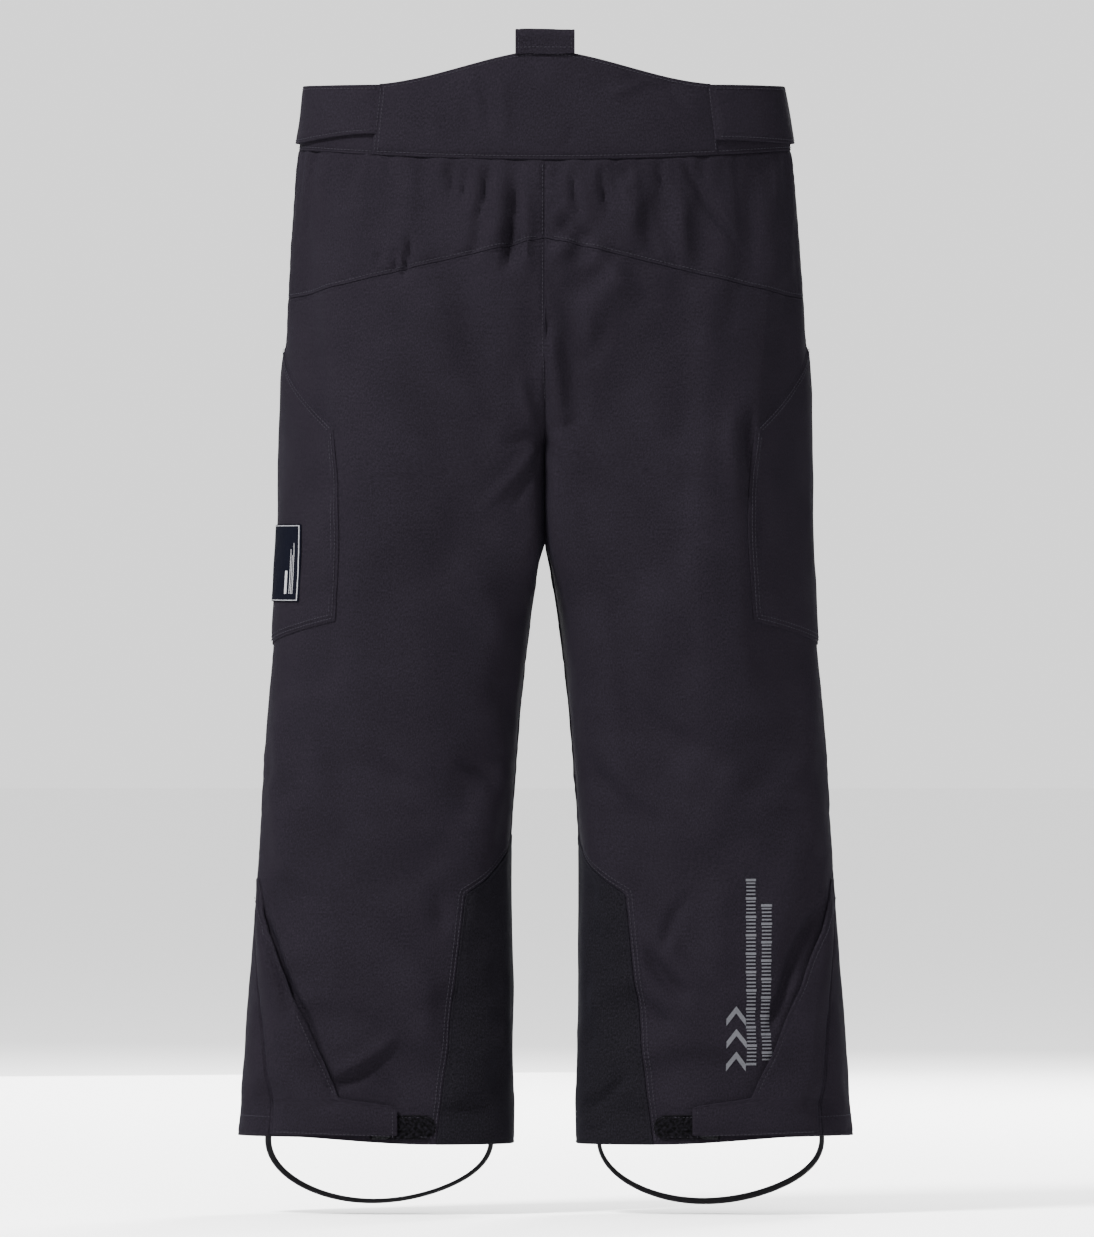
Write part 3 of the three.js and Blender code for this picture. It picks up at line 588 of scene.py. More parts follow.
def cloth(side, s, z, lift=0.0, still=False):
    """Points on the folded shell, lift mm out from it. still leaves the folds out, as on the waistband."""
    s, z = np.broadcast_arrays(np.asarray(s, float), np.asarray(z, float))
    p, n = skin(s, z), normals(s, z)
    if still:
        w = s * SECTION_LENGTH
        push = 0.5 * NOISES[side, SOFT](w / 40, z / 30) + 0.25 * NOISES[side, CRUMPLE](w / 14, z / 20)
    else:
        from_seam = np.abs(s - np.round(s)) * SECTION_LENGTH
        touching = smooth(z, TOUCH_Z - TOUCH_FADE, TOUCH_Z)
        push = MOST_FOLD * np.tanh((folds(side, s, z, n, p) + sampled(moved[side], s, z)) / MOST_FOLD)
        push = push * (1 - touching * bell(from_seam, TOUCH_FLAT) * np.clip(-3 * n[..., 0], 0, 1))
    p = p + n * (push + lift)[..., None]
    if not still:
        draw = (CLOSE_UP + CLOSE_MORE * np.maximum(0, -n[..., 0])) * touching * bell(from_seam, TOUCH_DRAW)
        p[..., 0] = np.where(touching > 0, np.maximum(p[..., 0] - draw, -SEAM_OVERLAP), p[..., 0])
    p[..., 0] *= side
    return p


# ---- Meshes ----

SHARPEST_SMOOTH = math.radians(50)  # edges that turn more than this are drawn sharp


def facing_out(points, faces):
    """The arrays of faces, turned round if they faced into the closed surface that they make."""
    around = points - points.mean(axis=0)
    volume = 0.0
    for f in faces:
        for k in range(1, f.shape[1] - 1):
            volume += np.sum(around[f[:, 0]] * np.cross(around[f[:, k]], around[f[:, k + 1]]))
    if volume < 0:
        return [f[:, ::-1] for f in faces]
    return faces


def add_object(name, points, faces, material, uv=None):
    """A closed mesh object from points in mm and arrays of faces of equal size."""
    points = np.asarray(points, float)
    faces = facing_out(points, [np.asarray(f, np.int32) for f in faces])
    corners = np.concatenate([f.ravel() for f in faces])
    sizes = np.concatenate([np.full(len(f), f.shape[1]) for f in faces])
    mesh = bpy.data.meshes.new(name)
    mesh.vertices.add(len(points))
    mesh.vertices.foreach_set("co", (points * MM).astype(np.float32).ravel())
    mesh.loops.add(len(corners))
    mesh.loops.foreach_set("vertex_index", corners)
    mesh.polygons.add(len(sizes))
    mesh.polygons.foreach_set("loop_start", (np.cumsum(sizes) - sizes).astype(np.int32))
    mesh.update(calc_edges=True)
    mesh.validate()
    mesh.polygons.foreach_set("use_smooth", np.ones(len(mesh.polygons), bool))
    if uv is not None:
        layer = mesh.uv_layers.new(name="cloth")
        kept = np.zeros(len(mesh.loops), np.int32)
        mesh.loops.foreach_get("vertex_index", kept)
        layer.data.foreach_set("uv", np.asarray(uv, np.float32)[kept].ravel())
    mesh.set_sharp_from_angle(angle=SHARPEST_SMOOTH)
    mesh.materials.append(material)
    made = bpy.data.objects.new(name, mesh)
    bpy.context.scene.collection.objects.link(made)
    return made


def grid_faces(index, wrap=False):
    """Quads over a grid of vertex numbers, whose columns may close round."""
    if wrap:
        index = np.concatenate([index, index[:, :1]], axis=1)
    a, b, c, d = index[:-1, :-1], index[:-1, 1:], index[1:, 1:], index[1:, :-1]
    return np.stack([a, b, c, d], axis=-1).reshape(-1, 4)


def slab(name, outer, inner, uv, material, wrap=False):
    """A closed slab between an outer and an inner grid of points. With wrap its columns close round."""
    rows, columns = outer.shape[:2]
    index = np.arange(rows * columns).reshape(rows, columns)
    under = index + rows * columns
    faces = [grid_faces(index, wrap), grid_faces(under, wrap)[:, ::-1]]
    faces.append(grid_faces(np.stack([under[0], index[0]]), wrap))
    faces.append(grid_faces(np.stack([index[-1], under[-1]]), wrap))
    if not wrap:
        faces.append(grid_faces(np.stack([index[:, 0], under[:, 0]])))
        faces.append(grid_faces(np.stack([under[:, -1], index[:, -1]])))
    points = np.concatenate([outer.reshape(-1, 3), inner.reshape(-1, 3)])
    flat = uv.reshape(-1, 2)
    return add_object(name, points, faces, material, np.concatenate([flat, flat]))


EDGE_LINES = (0.0, 0.35, 0.8, 1.5, 2.4, 3.4, 4.6, 6.2)  # distances from an edge in mm


def lines(length, step, extra=()):
    """Places from 0 to 1 along a length, closer together at both ends, with some more at extra."""
    edge = [e for e in EDGE_LINES if e < length * 0.3]
    middle = max(2, int(round((length - 2 * edge[-1]) / step)))
    inside = np.linspace(edge[-1], length - edge[-1], middle + 1)
    places = np.concatenate([edge[:-1], inside, [length - e for e in edge[:-1]]]) / length
    clear = [t for t in places if all(abs(t - e) * length > 0.3 for e in extra)]
    return np.sort(np.concatenate([clear, [e for e in extra if 0 < e < 1]]))


def edge_distances(points):
    """Each grid point's distance from the left, right, top and bottom edge, square to that edge."""
    across, down = np.diff(points, axis=1), np.diff(points, axis=0)
    left = np.concatenate([np.zeros((len(points), 1)), np.cumsum(np.linalg.norm(across, axis=-1), 1)], 1)
    top = np.concatenate([np.zeros((1, points.shape[1])), np.cumsum(np.linalg.norm(down, axis=-1), 0)], 0)

    def square(edge, line):
        """How much of a step along line leads away from the edge."""
        run = np.gradient(edge, axis=0)
        length = np.linalg.norm(run, axis=-1) * np.linalg.norm(line, axis=-1) + 1e-9
        return np.linalg.norm(np.cross(run, line), axis=-1) / length

    from_left = left * square(points[:, 0], across[:, 0])[:, None]
    from_right = (left[:, -1:] - left) * square(points[:, -1], across[:, -1])[:, None]
    from_top = top * square(points[0], down[0])[None]
    from_bottom = (top[-1:] - top) * square(points[-1], down[-1])[None]
    return left, (from_left, from_right, from_top, from_bottom)


def rolled(e, radius):
    """How far an edge of this radius has turned down, at distance e from it."""
    t = np.clip(1 - e / radius, 0, 1)
    return -radius * (1 - np.sqrt(1 - t * t))


def panel(name, side, left, right, top, bottom, lift=0.0, thick=2.6, step=3.2, roll=0.8, relief=None,
          still=False, material=SHELL, gap=0.1, rows=(), columns=(), unit_uv=False):
    """A sewn panel between s = left(z) and right(z) and z = top(s) and bottom(s).

    lift is its height over the shell: a number, or a function of the distances e to the left, right, top and
    bottom edge and of s and z. Its edges turn down with radius roll, and relief(e, s, z) shapes the outer
    face. rows are more heights, and columns more places from 0 to 1 across, that the mesh has lines at."""
    mid = float(top(0.25) + bottom(0.25)) / 2
    mid_s = float(left(mid) + right(mid)) / 2
    width = abs(float(right(mid) - left(mid))) * float(reach(mid_s, mid))
    high, low = float(top(mid_s)), float(bottom(mid_s))
    v_lines = lines(high - low, step, [(high - z) / (high - low) for z in rows])
    u, v = np.meshgrid(lines(width, step, columns), v_lines)
    near = lerp(left(mid), right(mid), u)
    edge_s = lerp(left(top(near)), right(top(near)), u)
    z = lerp(top(edge_s) - gap, bottom(edge_s) + gap, v)
    s = lerp(left(z) + gap / SECTION_LENGTH, right(z) - gap / SECTION_LENGTH, u)
    run, e = edge_distances(skin(s, z))
    stands = lift(e, s, z) if callable(lift) else np.full_like(s, lift)
    face = stands + rolled(np.minimum.reduce(e), min(roll, 0.45 * thick))
    if relief is not None:
        face = face + relief(e, s, z)
    outer = cloth(side, s, z, face, still)
    inner = cloth(side, s, z, stands - thick, still)
    uv = np.stack([u, v], -1) if unit_uv else np.stack([run - run[:, -1:] / 2, -z], -1) * MM
    return slab(name, outer, inner, uv, material)


def show(piece, body, slot, *nodes):
    """piece rides a body and stands for these CAD nodes, which are hidden. slot is not used."""
    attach(piece, body)
    if nodes:
        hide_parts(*nodes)
    return piece


def show_bending(piece, side, slot, *nodes):
    """piece keeps its place with its transform baked into the mesh, and stands for these CAD nodes on its
    side, which are hidden. slot is not used.
    """
    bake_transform(piece)
    if nodes:
        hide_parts(*[f"{NAME[side]}_{node}" for node in nodes])
    return piece


# ---- Stitches ----

STITCH = {"length": 1.9, "pitch": 2.8, "half": 0.27}
INSET, DOUBLE = 2.6, 5.4  # from an edge to its first and its second row of stitches


def beads(centres, directions, ups, length, half, flat=0.8):
    """One short rounded bar for each centre, as points, quads and end faces."""
    sides, rings = 6, ((-0.5, 0.3), (-0.36, 0.9), (0.0, 1.0), (0.36, 0.9), (0.5, 0.3))
    across = np.cross(ups, directions)
    points = []
    for place, size in rings:
        for angle in 2 * np.pi * np.arange(sides) / sides:
            offset = across * math.cos(angle) + ups * (math.sin(angle) * flat)
            points.append(centres + directions * (place * length) + offset * (half * size))
    points = np.stack(points, axis=1)
    ring = np.arange(sides * len(rings)).reshape(len(rings), sides)
    start = (np.arange(len(centres)) * ring.size)[:, None, None]
    quads = (grid_faces(ring, wrap=True)[None] + start).reshape(-1, 4)
    ends = (np.stack([ring[0][::-1], ring[-1]])[None] + start).reshape(-1, sides)
    return points.reshape(-1, 3), quads, ends


class Beads:
    """Rows of small bars that move together, made into one piece."""

    def __init__(self):
        self.parts, self.count = [], 0

    def add(self, *bars, **shape):
        points, quads, ends = beads(*bars, **shape)
        self.parts.append((points, quads + self.count, ends + self.count))
        self.count += len(points)

    def joined(self):
        return [np.concatenate(kind) for kind in zip(*self.parts)]

    def piece(self, name, material):
        points, quads, ends = self.joined()
        return add_object(name, points, [quads, ends], material, points[:, [0, 2]] * MM)

    def row(self, side, s, z, lift=0.0, still=False):
        """A row of stitches along the places (s, z), lift mm out from the cloth. One may be a number."""
        s, z = np.broadcast_arrays(s, z)
        fine = np.linspace(0, 1, 500)
        given = np.linspace(0, 1, len(s))
        s, z = np.interp(fine, given, s), np.interp(fine, given, z)
        path = cloth(side, s, z, lift, still)
        run = np.concatenate([[0], np.cumsum(np.linalg.norm(np.diff(path, axis=0), axis=1))])
        places = np.arange(STITCH["pitch"] / 2, run[-1], STITCH["pitch"])

        def at(where, values):
            return np.stack([np.interp(where, run, v) for v in values.T], axis=1)

        centres = at(places, path)
        directions = unit(at(places + 0.5, path) - at(places - 0.5, path))
        spots = at(places, np.stack([s, z], axis=1))
        ups = normals(spots[:, 0], spots[:, 1]) * [side, 1, 1]
        ups = unit(ups - directions * np.sum(ups * directions, axis=1, keepdims=True))
        self.add(centres, directions, ups, STITCH["length"], STITCH["half"])


def shifted(s, z, distance):
    """The line through the places (s, z), moved sideways by distance mm: towards more s as it runs down."""
    wide = reach(s, z)
    run = unit(np.stack([np.gradient(s) * wide, np.gradient(z)], axis=1))
    return s - run[:, 1] * distance / wide, z + run[:, 0] * distance


def spread(a, b, count=60):
    return np.linspace(a, b, count)


waist_stitches = Beads()
leg_stitches = {side: Beads() for side in SIDES}
upper_stitches = Beads()

# ---- Simulation ----

SIM_GAIN, SIM_MOST = 0.8, 3.0
SIM_STEPS = 32
SIM_SETTINGS = {
    "quality": 6,
    "mass": 0.2,
    "tension_stiffness": 18,
    "compression_stiffness": 18,
    "shear_stiffness": 8,
    "bending_stiffness": 1.2,
    "vertex_group_mass": "pin",
    "vertex_group_shrink": "seam",
    "shrink_min": -0.035,
    "shrink_max": 0.01,
    "use_pressure": True,
    "uniform_pressure_force": 0.6,
}
SIM_GRAVITY = 0.25
NEAR_FORK, NEAR_YOKE = 4.0, 5.0  # how close a row counts as the fork or the yoke's seam


def blurred(grid, passes):
    """The grid, smoothed over about passes cells each way."""
    for _ in range(passes * passes):
        wide = np.pad(grid, 1, mode="edge")
        grid = (wide[:-2, 1:-1] + wide[2:, 1:-1] + wide[1:-1, :-2] + wide[1:-1, 2:] + 2 * grid) / 6
    return grid


def simulate_shell():
    """Lets the empty shell settle as cloth, with its seams a little short, and keeps how far it moved."""
    number, points, pins, seams = {}, [], [], []
    grids = {}
    for side in SIDES:
        s, z = np.meshgrid(np.linspace(0, 1, SIM_COLUMNS + 1), np.linspace(SIM_TOP, SIM_LOW, SIM_ROWS + 1))
        p = skin(s, z) * [side, 1, 1] * MM
        grids[side] = np.zeros(s.shape, int)
        for j, i in np.ndindex(s.shape):
            at_seam = i in (0, SIM_COLUMNS)
            height = z[j, i]
            if not at_seam:
                key = (side, j, i)
            elif height > FORK_Z + NEAR_FORK:
                key = ("seat", j, i)
            elif height > FORK_Z - NEAR_FORK:
                key = ("fork", j)
            else:
                key = ("inseam", side, j)
            if key not in number:
                number[key] = len(points)
                points.append(p[j, i])
                pins.append(max(1 - j / 2, 1 - (SIM_ROWS - j) / 1.5, 0))
                on_yoke = i < SIM_COLUMNS / 2 and abs(height - yoke_seam(s[j, i])) < NEAR_YOKE
                seams.append(1.0 if at_seam or i == SIM_COLUMNS // 2 or on_yoke else 0.0)
            grids[side][j, i] = number[key]
    mesh = bpy.data.meshes.new("sim")
    mesh.from_pydata(points, [], np.concatenate([grid_faces(grid) for grid in grids.values()]).tolist())
    sim = bpy.data.objects.new("sim", mesh)
    bpy.context.scene.collection.objects.link(sim)
    for name, weights in (("pin", pins), ("seam", seams)):
        group = sim.vertex_groups.new(name=name)
        for k, weight in enumerate(weights):
            if weight > 0:
                group.add([k], weight, "REPLACE")
    settings = sim.modifiers.new("cloth", "CLOTH").settings
    for key, value in SIM_SETTINGS.items():
        setattr(settings, key, value)
    settings.effector_weights.gravity = SIM_GRAVITY
    scene = bpy.context.scene
    for step in range(1, SIM_STEPS + 1):
        scene.frame_set(step)
    result = sim.evaluated_get(bpy.context.evaluated_depsgraph_get()).to_mesh()
    settled = np.zeros(len(points) * 3)
    result.vertices.foreach_get("co", settled)
    move = (settled.reshape(-1, 3) - np.array(points)) / MM
    for side in SIDES:
        outward = np.sum(move[grids[side]] * [side, 1, 1] * normals(s, z), axis=-1)
        fine = outward - blurred(outward, 5)
        within = smooth(-z, 50, 90) * smooth(z, HEM_Z, HEM_Z + 40)
        at_silhouette = smooth(np.abs(normals(s, z)[..., 0]), 0.7, 1.0)
        kept = within * (1 - 0.7 * at_silhouette)
        moved[side][:] = SIM_MOST * np.tanh(blurred(fine, 1) * SIM_GAIN / SIM_MOST) * kept
    scene.frame_set(1)
    bpy.data.objects.remove(sim)


simulate_shell()

# ---- Waist ----

BAND_EDGE = float(waist_s(BACK_BAND_HALF, 0.0))
BAND_LIFT = 1.5


def back_top(s):
    return BACK_RISE * (1 - smooth(np.abs(skin(s, 0.0)[..., 0]), -6, BACK_BAND_HALF + 8))


def soft_crown(e, s, z):
    """A padded band's crown, with a shallow groove under the bottom row of stitches."""
    return 0.9 * (1 - np.exp(-np.minimum.reduce(e) / 9)) - 0.5 * bell(e[3] - INSET, 1.1)


def hem_groove(e, s, z):
    """A shallow groove along all edges, where the topstitching draws the cloth down."""
    return -0.35 * bell(np.minimum.reduce(e) - INSET, 1.0)


BAND_FOLDS = [
    (-84, -6, -56, 4, 3, -1.2), (-70, 2, -46, -8, 3, 1.4), (-104, -22, -84, 2, 4, -1.2),
    (47, 4, 38, -34, 3, -1.2), (33, 8, 27, -44, 4, 1.1), (60, -8, 52, -30, 4, -0.9),
    (-20, -30, -14, -46, 3, -0.8), (84, -14, 74, -40, 5, 0.8),
]


def back_band_relief(e, s, z):
    sewn_down = -0.8 * bell(e[3], 4)
    return soft_crown(e, s, z) + ridges(BAND_FOLDS, skin(s, z)[..., 0], z) + sewn_down


def facing_top(s):
    return np.where(np.abs(s) < BAND_EDGE, back_top(s), 0) - 1.2


def make_waistbands():
    band = panel("back_waistband_cloth", 1, constant(-BAND_EDGE), constant(BAND_EDGE), back_top, waist_seam,
                 lift=BAND_LIFT, thick=4.3, step=2.6, relief=back_band_relief, still=True)
    show(band, "upper", "shell_fabric", "back_waistband")
    facing = panel("waistband_facing_cloth", 1, constant(-0.985), constant(0.985),
                   facing_top, lambda s: waist_seam(s) + 1, lift=-2.9, thick=1.6, step=4.0, roll=0.6,
                   still=True, material=LINING_CLOTH)
    show(facing, "upper", "lining_fabric", "waistband_facing")
    for side in SIDES:
        front = panel(f"{NAME[side]}_front_waistband_cloth", side, constant(BAND_EDGE - 0.01), constant(1.0),
                      constant(0.0), waist_seam, thick=2.8, relief=soft_crown, still=True)
        show(front, "upper", "shell_fabric", f"{NAME[side]}_front_waistband")
        s = spread(BAND_EDGE, 0.995)
        waist_stitches.row(side, s, waist_seam(s) + INSET, 0.45, still=True)
        waist_stitches.row(side, s, -2.4, 0.65, still=True)
    s = spread(-BAND_EDGE + 0.006, BAND_EDGE - 0.006, 120)
    waist_stitches.row(1, s, waist_seam(s) + INSET, BAND_LIFT - 0.3, still=True)
    waist_stitches.row(1, s, back_top(s) - INSET, BAND_LIFT + 0.4, still=True)
    high, low = float(back_top(BAND_EDGE)) - 3, float(waist_seam(BAND_EDGE)) + 3
    z = spread(high, low)
    for edge, inset in ((BAND_EDGE, 2.4), (BAND_EDGE, DOUBLE), (-BAND_EDGE, -2.4)):
        waist_stitches.row(1, edge - inset / SECTION_LENGTH, z, BAND_LIFT + 0.5, still=True)


STRAP_END, STRAP_LIFT = 0.7, 3.4


def strap_foot(side):
    """The strap's lower edge. The left one is sewn on a little higher than it ends."""
    return lambda s: -41.5 + (6.0 if side > 0 else 1.5) * (1 - smooth(s, BAND_EDGE, 0.45))


def strap_relief(e, s, z):
    sewn_down = -1.1 * bell(e[0], 4)
    groove = -0.3 * bell(np.minimum.reduce(e) - 2.4, 0.9)
    return groove + sewn_down + 0.9 * bell(e[1], 9) + 0.35 * np.sin(z / 9) * bell(e[0], 30)


def make_straps():
    for side in SIDES:
        name = NAME[side]
        strap = panel(f"{name}_waist_strap_cloth", side, constant(BAND_EDGE - 0.006), constant(STRAP_END),
                      constant(-0.6), strap_foot(side), lift=STRAP_LIFT, thick=1.5, step=2.6,
                      relief=strap_relief, still=True)
        show(strap, f"{name}_waist_strap", "shell_fabric", f"{name}_waist_strap")
        hook = panel(f"{name}_waist_hook_tape", side, constant(STRAP_END - 0.09), constant(STRAP_END - 0.01),
                     constant(-6), constant(-36), lift=1.85, thick=1.0, step=2.0, roll=0.4, still=True,
                     material=HOOK_NAP)
        show(hook, f"{name}_waist_strap", "hook_and_loop", f"{name}_waist_hook")
        stitches = Beads()
        s = spread(BAND_EDGE + 0.004, STRAP_END - 0.006)
        stitches.row(side, s, -3.2, STRAP_LIFT + 0.05, still=True)
        stitches.row(side, s, strap_foot(side)(s) + INSET, STRAP_LIFT + 0.05, still=True)
        stitches.row(side, STRAP_END - INSET / SECTION_LENGTH, spread(-4, -38), STRAP_LIFT + 0.8, still=True)
        piece = stitches.piece(f"{name}_waist_strap_stitches", THREAD)
        show(piece, f"{name}_waist_strap", "shell_fabric")


TAB = {"sewn": 30.0, "free": -22.0, "lift": 4.3, "gap": 1.6, "seam": 4.4, "snap_x": -11.0,
       "snap_z": (-13.0, -33.0)}


def turned(outline):
    """A closed round surface from (radius, height) pairs that start and end on the axis, as rings."""
    angles = 2 * np.pi * np.arange(40) / 40
    rings = [[(r * math.cos(a), r * math.sin(a), h) for a in angles] for r, h in outline[1:-1]]
    return np.array([(0, 0, outline[0][1])]), np.array(rings), np.array([(0, 0, outline[-1][1])])


def lathe(name, outline, place, material):
    """A turned object at place, which turns (x, y, z) points into where they belong."""
    first, rings, last = turned(outline)
    count, sides = rings.shape[:2]
    points = np.concatenate([first, rings.reshape(-1, 3), last])
    ring = np.arange(count * sides).reshape(count, sides) + 1
    centre_low, centre_high = np.zeros(sides, int), np.full(sides, len(points) - 1)
    low = np.stack([centre_low, np.roll(ring[0], -1), ring[0]], axis=1)
    high = np.stack([centre_high, ring[-1], np.roll(ring[-1], -1)], axis=1)
    return add_object(name, place(points), [grid_faces(ring, wrap=True), low, high], material)


def on_skin(s, z, offset):
    """Places points at (s, z) on the front, with their z along the skin's normal."""
    origin, out = raised(s, z, offset), normals(s, z)
    across = unit(np.cross([0, 0, 1.0], out))
    up = np.cross(out, across)
    return lambda points: origin + points @ np.stack([across, up, out])


SNAP_CAP = ((0, 0), (5.6, 0), (6.1, 0.35), (6.1, 1.1), (5.7, 1.55), (5.0, 1.6), (4.6, 1.3), (4.1, 1.35),
            (3.0, 1.9), (1.5, 2.15), (0, 2.2))
SNAP_STUD = ((0, 0), (3.5, 0), (3.6, 0.5), (2.6, 0.7), (2.1, 1.1), (2.3, 1.5), (1.7, 1.8), (0, 1.85))


def make_waist_closure():
    def front_s(x, z):
        return float(waist_s(x, z, front=True))

    sewn, free = (constant(front_s(TAB[end], 0.0)) for end in ("sewn", "free"))
    tab = panel("waist_tab_cloth", 1, sewn, free, constant(-TAB["gap"]), constant(WAIST_SEAM_Z + TAB["gap"]),
                lift=TAB["lift"], thick=1.6, step=2.2, relief=hem_groove, still=True)
    show(tab, "waist_tab", "shell_fabric", "waist_tab")
    stitches = Beads()
    rows = -TAB["seam"], WAIST_SEAM_Z + TAB["seam"]
    columns = [front_s(x, -20.0) for x in (TAB["sewn"] - 3, TAB["sewn"] - 7, TAB["free"] + INSET)]
    for height in rows:
        stitches.row(1, spread(columns[0], columns[-1]), height, TAB["lift"], still=True)
    for s in columns:
        stitches.row(1, s, spread(*rows), TAB["lift"], still=True)
    show(stitches.piece("waist_tab_stitches", THREAD), "waist_tab", "shell_fabric")
    for place, z in zip(("upper", "lower"), TAB["snap_z"]):
        s = front_s(TAB["snap_x"], z)
        cap = lathe(f"{place}_snap_cap_metal", SNAP_CAP, on_skin(s, z, TAB["lift"] + 0.3), METAL)
        show(cap, "waist_tab", "dark_metal", f"{place}_snap_cap")
        stud = lathe(f"{place}_snap_stud_metal", SNAP_STUD, on_skin(s, z, 0.6), METAL)
        show(stud, "upper", "dark_metal", f"{place}_snap_stud")


LOOP = {"width": 42.0, "foot": BACK_RISE - 3.0, "height": 17.4, "gap": 6.0, "strip": 1.6}


def make_back_loop():
    """A folded strip that stands over the middle of the back waistband, with room for a hanger."""
    half = LOOP["gap"] / 2
    top = LOOP["foot"] + LOOP["height"]
    rise = spread(LOOP["foot"], top - half - LOOP["strip"], 12)
    bend = spread(0, math.pi, 17)[1:-1]
    middle = float(skin(0.0, BACK_RISE)[1]) - 1

    def profile(reach_out):
        r = half + reach_out
        up = [(middle + r, z) for z in rise]
        over = [(middle + r * math.cos(a), rise[-1] + r * math.sin(a)) for a in bend]
        return np.array(up + over + [(middle - r, z) for z in rise[::-1]])

    across = lines(LOOP["width"], 2.0) * LOOP["width"] - LOOP["width"] / 2
    from_edge = LOOP["width"] / 2 - np.abs(across)
    grids = []
    for reach_out in (LOOP["strip"], 0.1):
        rows = profile(reach_out)
        wobble = 0.35 * NOISES[1, SOFT](across[None] / 12, rows[:, 1:] / 9)
        turn = rolled(from_edge, 0.6) - 0.25 * bell(from_edge - 2.4, 0.8)
        outwards = unit(rows - [middle, rise[-1] - 4])
        shift = (wobble + (turn[None] if reach_out > 1 else 0))[..., None] * outwards[:, None]
        grid = np.zeros((len(rows), len(across), 3))
        grid[..., 0] = across
        grid[..., 1:] = rows[:, None] + shift
        grids.append(grid)
    run = np.concatenate([[0], np.cumsum(np.linalg.norm(np.diff(profile(0), axis=0), axis=1))])
    uv = np.stack(np.meshgrid(across, run), -1) * MM
    show(slab("back_loop_cloth", *grids, uv, SHELL), "upper", "shell_fabric", "back_loop")

    def sew(x, z, direction):
        """A straight row of stitches on the strip's rear face."""
        centres = np.stack(np.broadcast_arrays(x, middle + half + LOOP["strip"], z), axis=1)
        directions, ups = (np.tile(v, (len(centres), 1)) for v in (direction, [0, 1.0, 0]))
        waist_stitches.add(centres, directions, ups, STITCH["length"], STITCH["half"])

    side_x = LOOP["width"] / 2 - 2.4
    for x in (-side_x, side_x):
        sew(x, np.arange(BACK_RISE + 1.5, rise[-1], STITCH["pitch"]), [0, 0, 1.0])
    across = np.arange(-LOOP["width"] / 2 + 4, LOOP["width"] / 2 - 3, STITCH["pitch"])
    sew(across, BACK_RISE + 1.6, [1.0, 0, 0])


make_waistbands()
make_straps()
make_waist_closure()
make_back_loop()
show(waist_stitches.piece("waist_stitches", THREAD), "upper", "shell_fabric")

# ---- Shell and lining ----

FLY_CORNER = 6.0  # the height over which the fly's opening narrows to its foot
WAIST_COVER = 2.6  # how far the shell runs on under the waistband


def front_edge(half, foot):
    """The front panels' edge: the fly's opening above foot, and the centre seam or the scuff guard below."""
    def edge(z):
        opening = 1 - waist_s(half * smooth(z, foot, foot + FLY_CORNER), z, front=True)
        return 1 - guard_half(z) - np.where(np.asarray(z) > FORK_TOP_Z - 40, opening, 0)
    return edge


def waist_tuck(s):
    """The shell runs on under the waistband's lower edge."""
    return waist_seam(s) + WAIST_COVER


def tucked(e, s, z):
    """How far the shell is pressed in where the waistband covers it."""
    return -0.7 * smooth(z - waist_seam(s), -1.5, 0.5)


def seam_pucker(e, s, z):
    """Small puckers along the seams, from the stitches that draw them in."""
    nearest = np.minimum.reduce(e)
    w = s * SECTION_LENGTH
    pucker = 0.35 * bell(nearest - 4, 5) * NOISES[1, CRUMPLE](w / 5 + 7, z / 5)
    return pucker - 0.3 * bell(nearest - 2.4, 0.9) - 0.8 * bell(e[0], 0.9)


def make_legs():
    fly_rows = tuple(np.arange(FLY_FOOT - 2, FLY_FOOT + FLY_CORNER + 2, 0.8))
    for side in SIDES:
        name = NAME[side]
        yoke = panel(f"{name}_yoke_cloth", side, constant(0.0), constant(0.5), waist_tuck, yoke_seam,
                     step=2.4, lift=tucked, roll=0.4, relief=seam_pucker)
        show(yoke, "upper", "shell_fabric", f"{name}_back_yoke")
        back = panel(f"{name}_back_leg_cloth", side, guard_half, outseam, yoke_seam, hem, roll=0.4,
                     relief=seam_pucker, rows=GUARD_ROWS)
        show_bending(back, side, "shell_fabric", "back_thigh", "knee_fold", "back_shin")
        front = panel(f"{name}_front_leg_cloth", side, outseam, front_edge(FLY_HALF, FLY_FOOT), waist_tuck,
                      hem, lift=tucked, roll=0.5, relief=seam_pucker, rows=[*fly_rows, *GUARD_ROWS])
        show_bending(front, side, "shell_fabric", "front_thigh", "front_shin")
        guard = panel(f"{name}_scuff_guard_cloth", side, lambda z: -guard_half(z), guard_half,
                      constant(GUARD[0][0]), hem, lift=0.35, gap=-0.4, material=CANVAS_CLOTH,
                      relief=hem_groove, rows=GUARD_ROWS)
        show_bending(guard, side, "scuff_canvas", "scuff_guard")
        lining = panel(f"{name}_leg_lining_cloth", side, constant(0.003), front_edge(16.0, FLY_FOOT - 4),
                       lambda s: waist_seam(s) - 0.5, constant(LINING_FOOT), lift=-5.4, thick=1.0, step=5.0,
                       roll=0.4, material=LINING_CLOTH, rows=fly_rows)
        show_bending(lining, side, "lining_fabric", "thigh_lining")


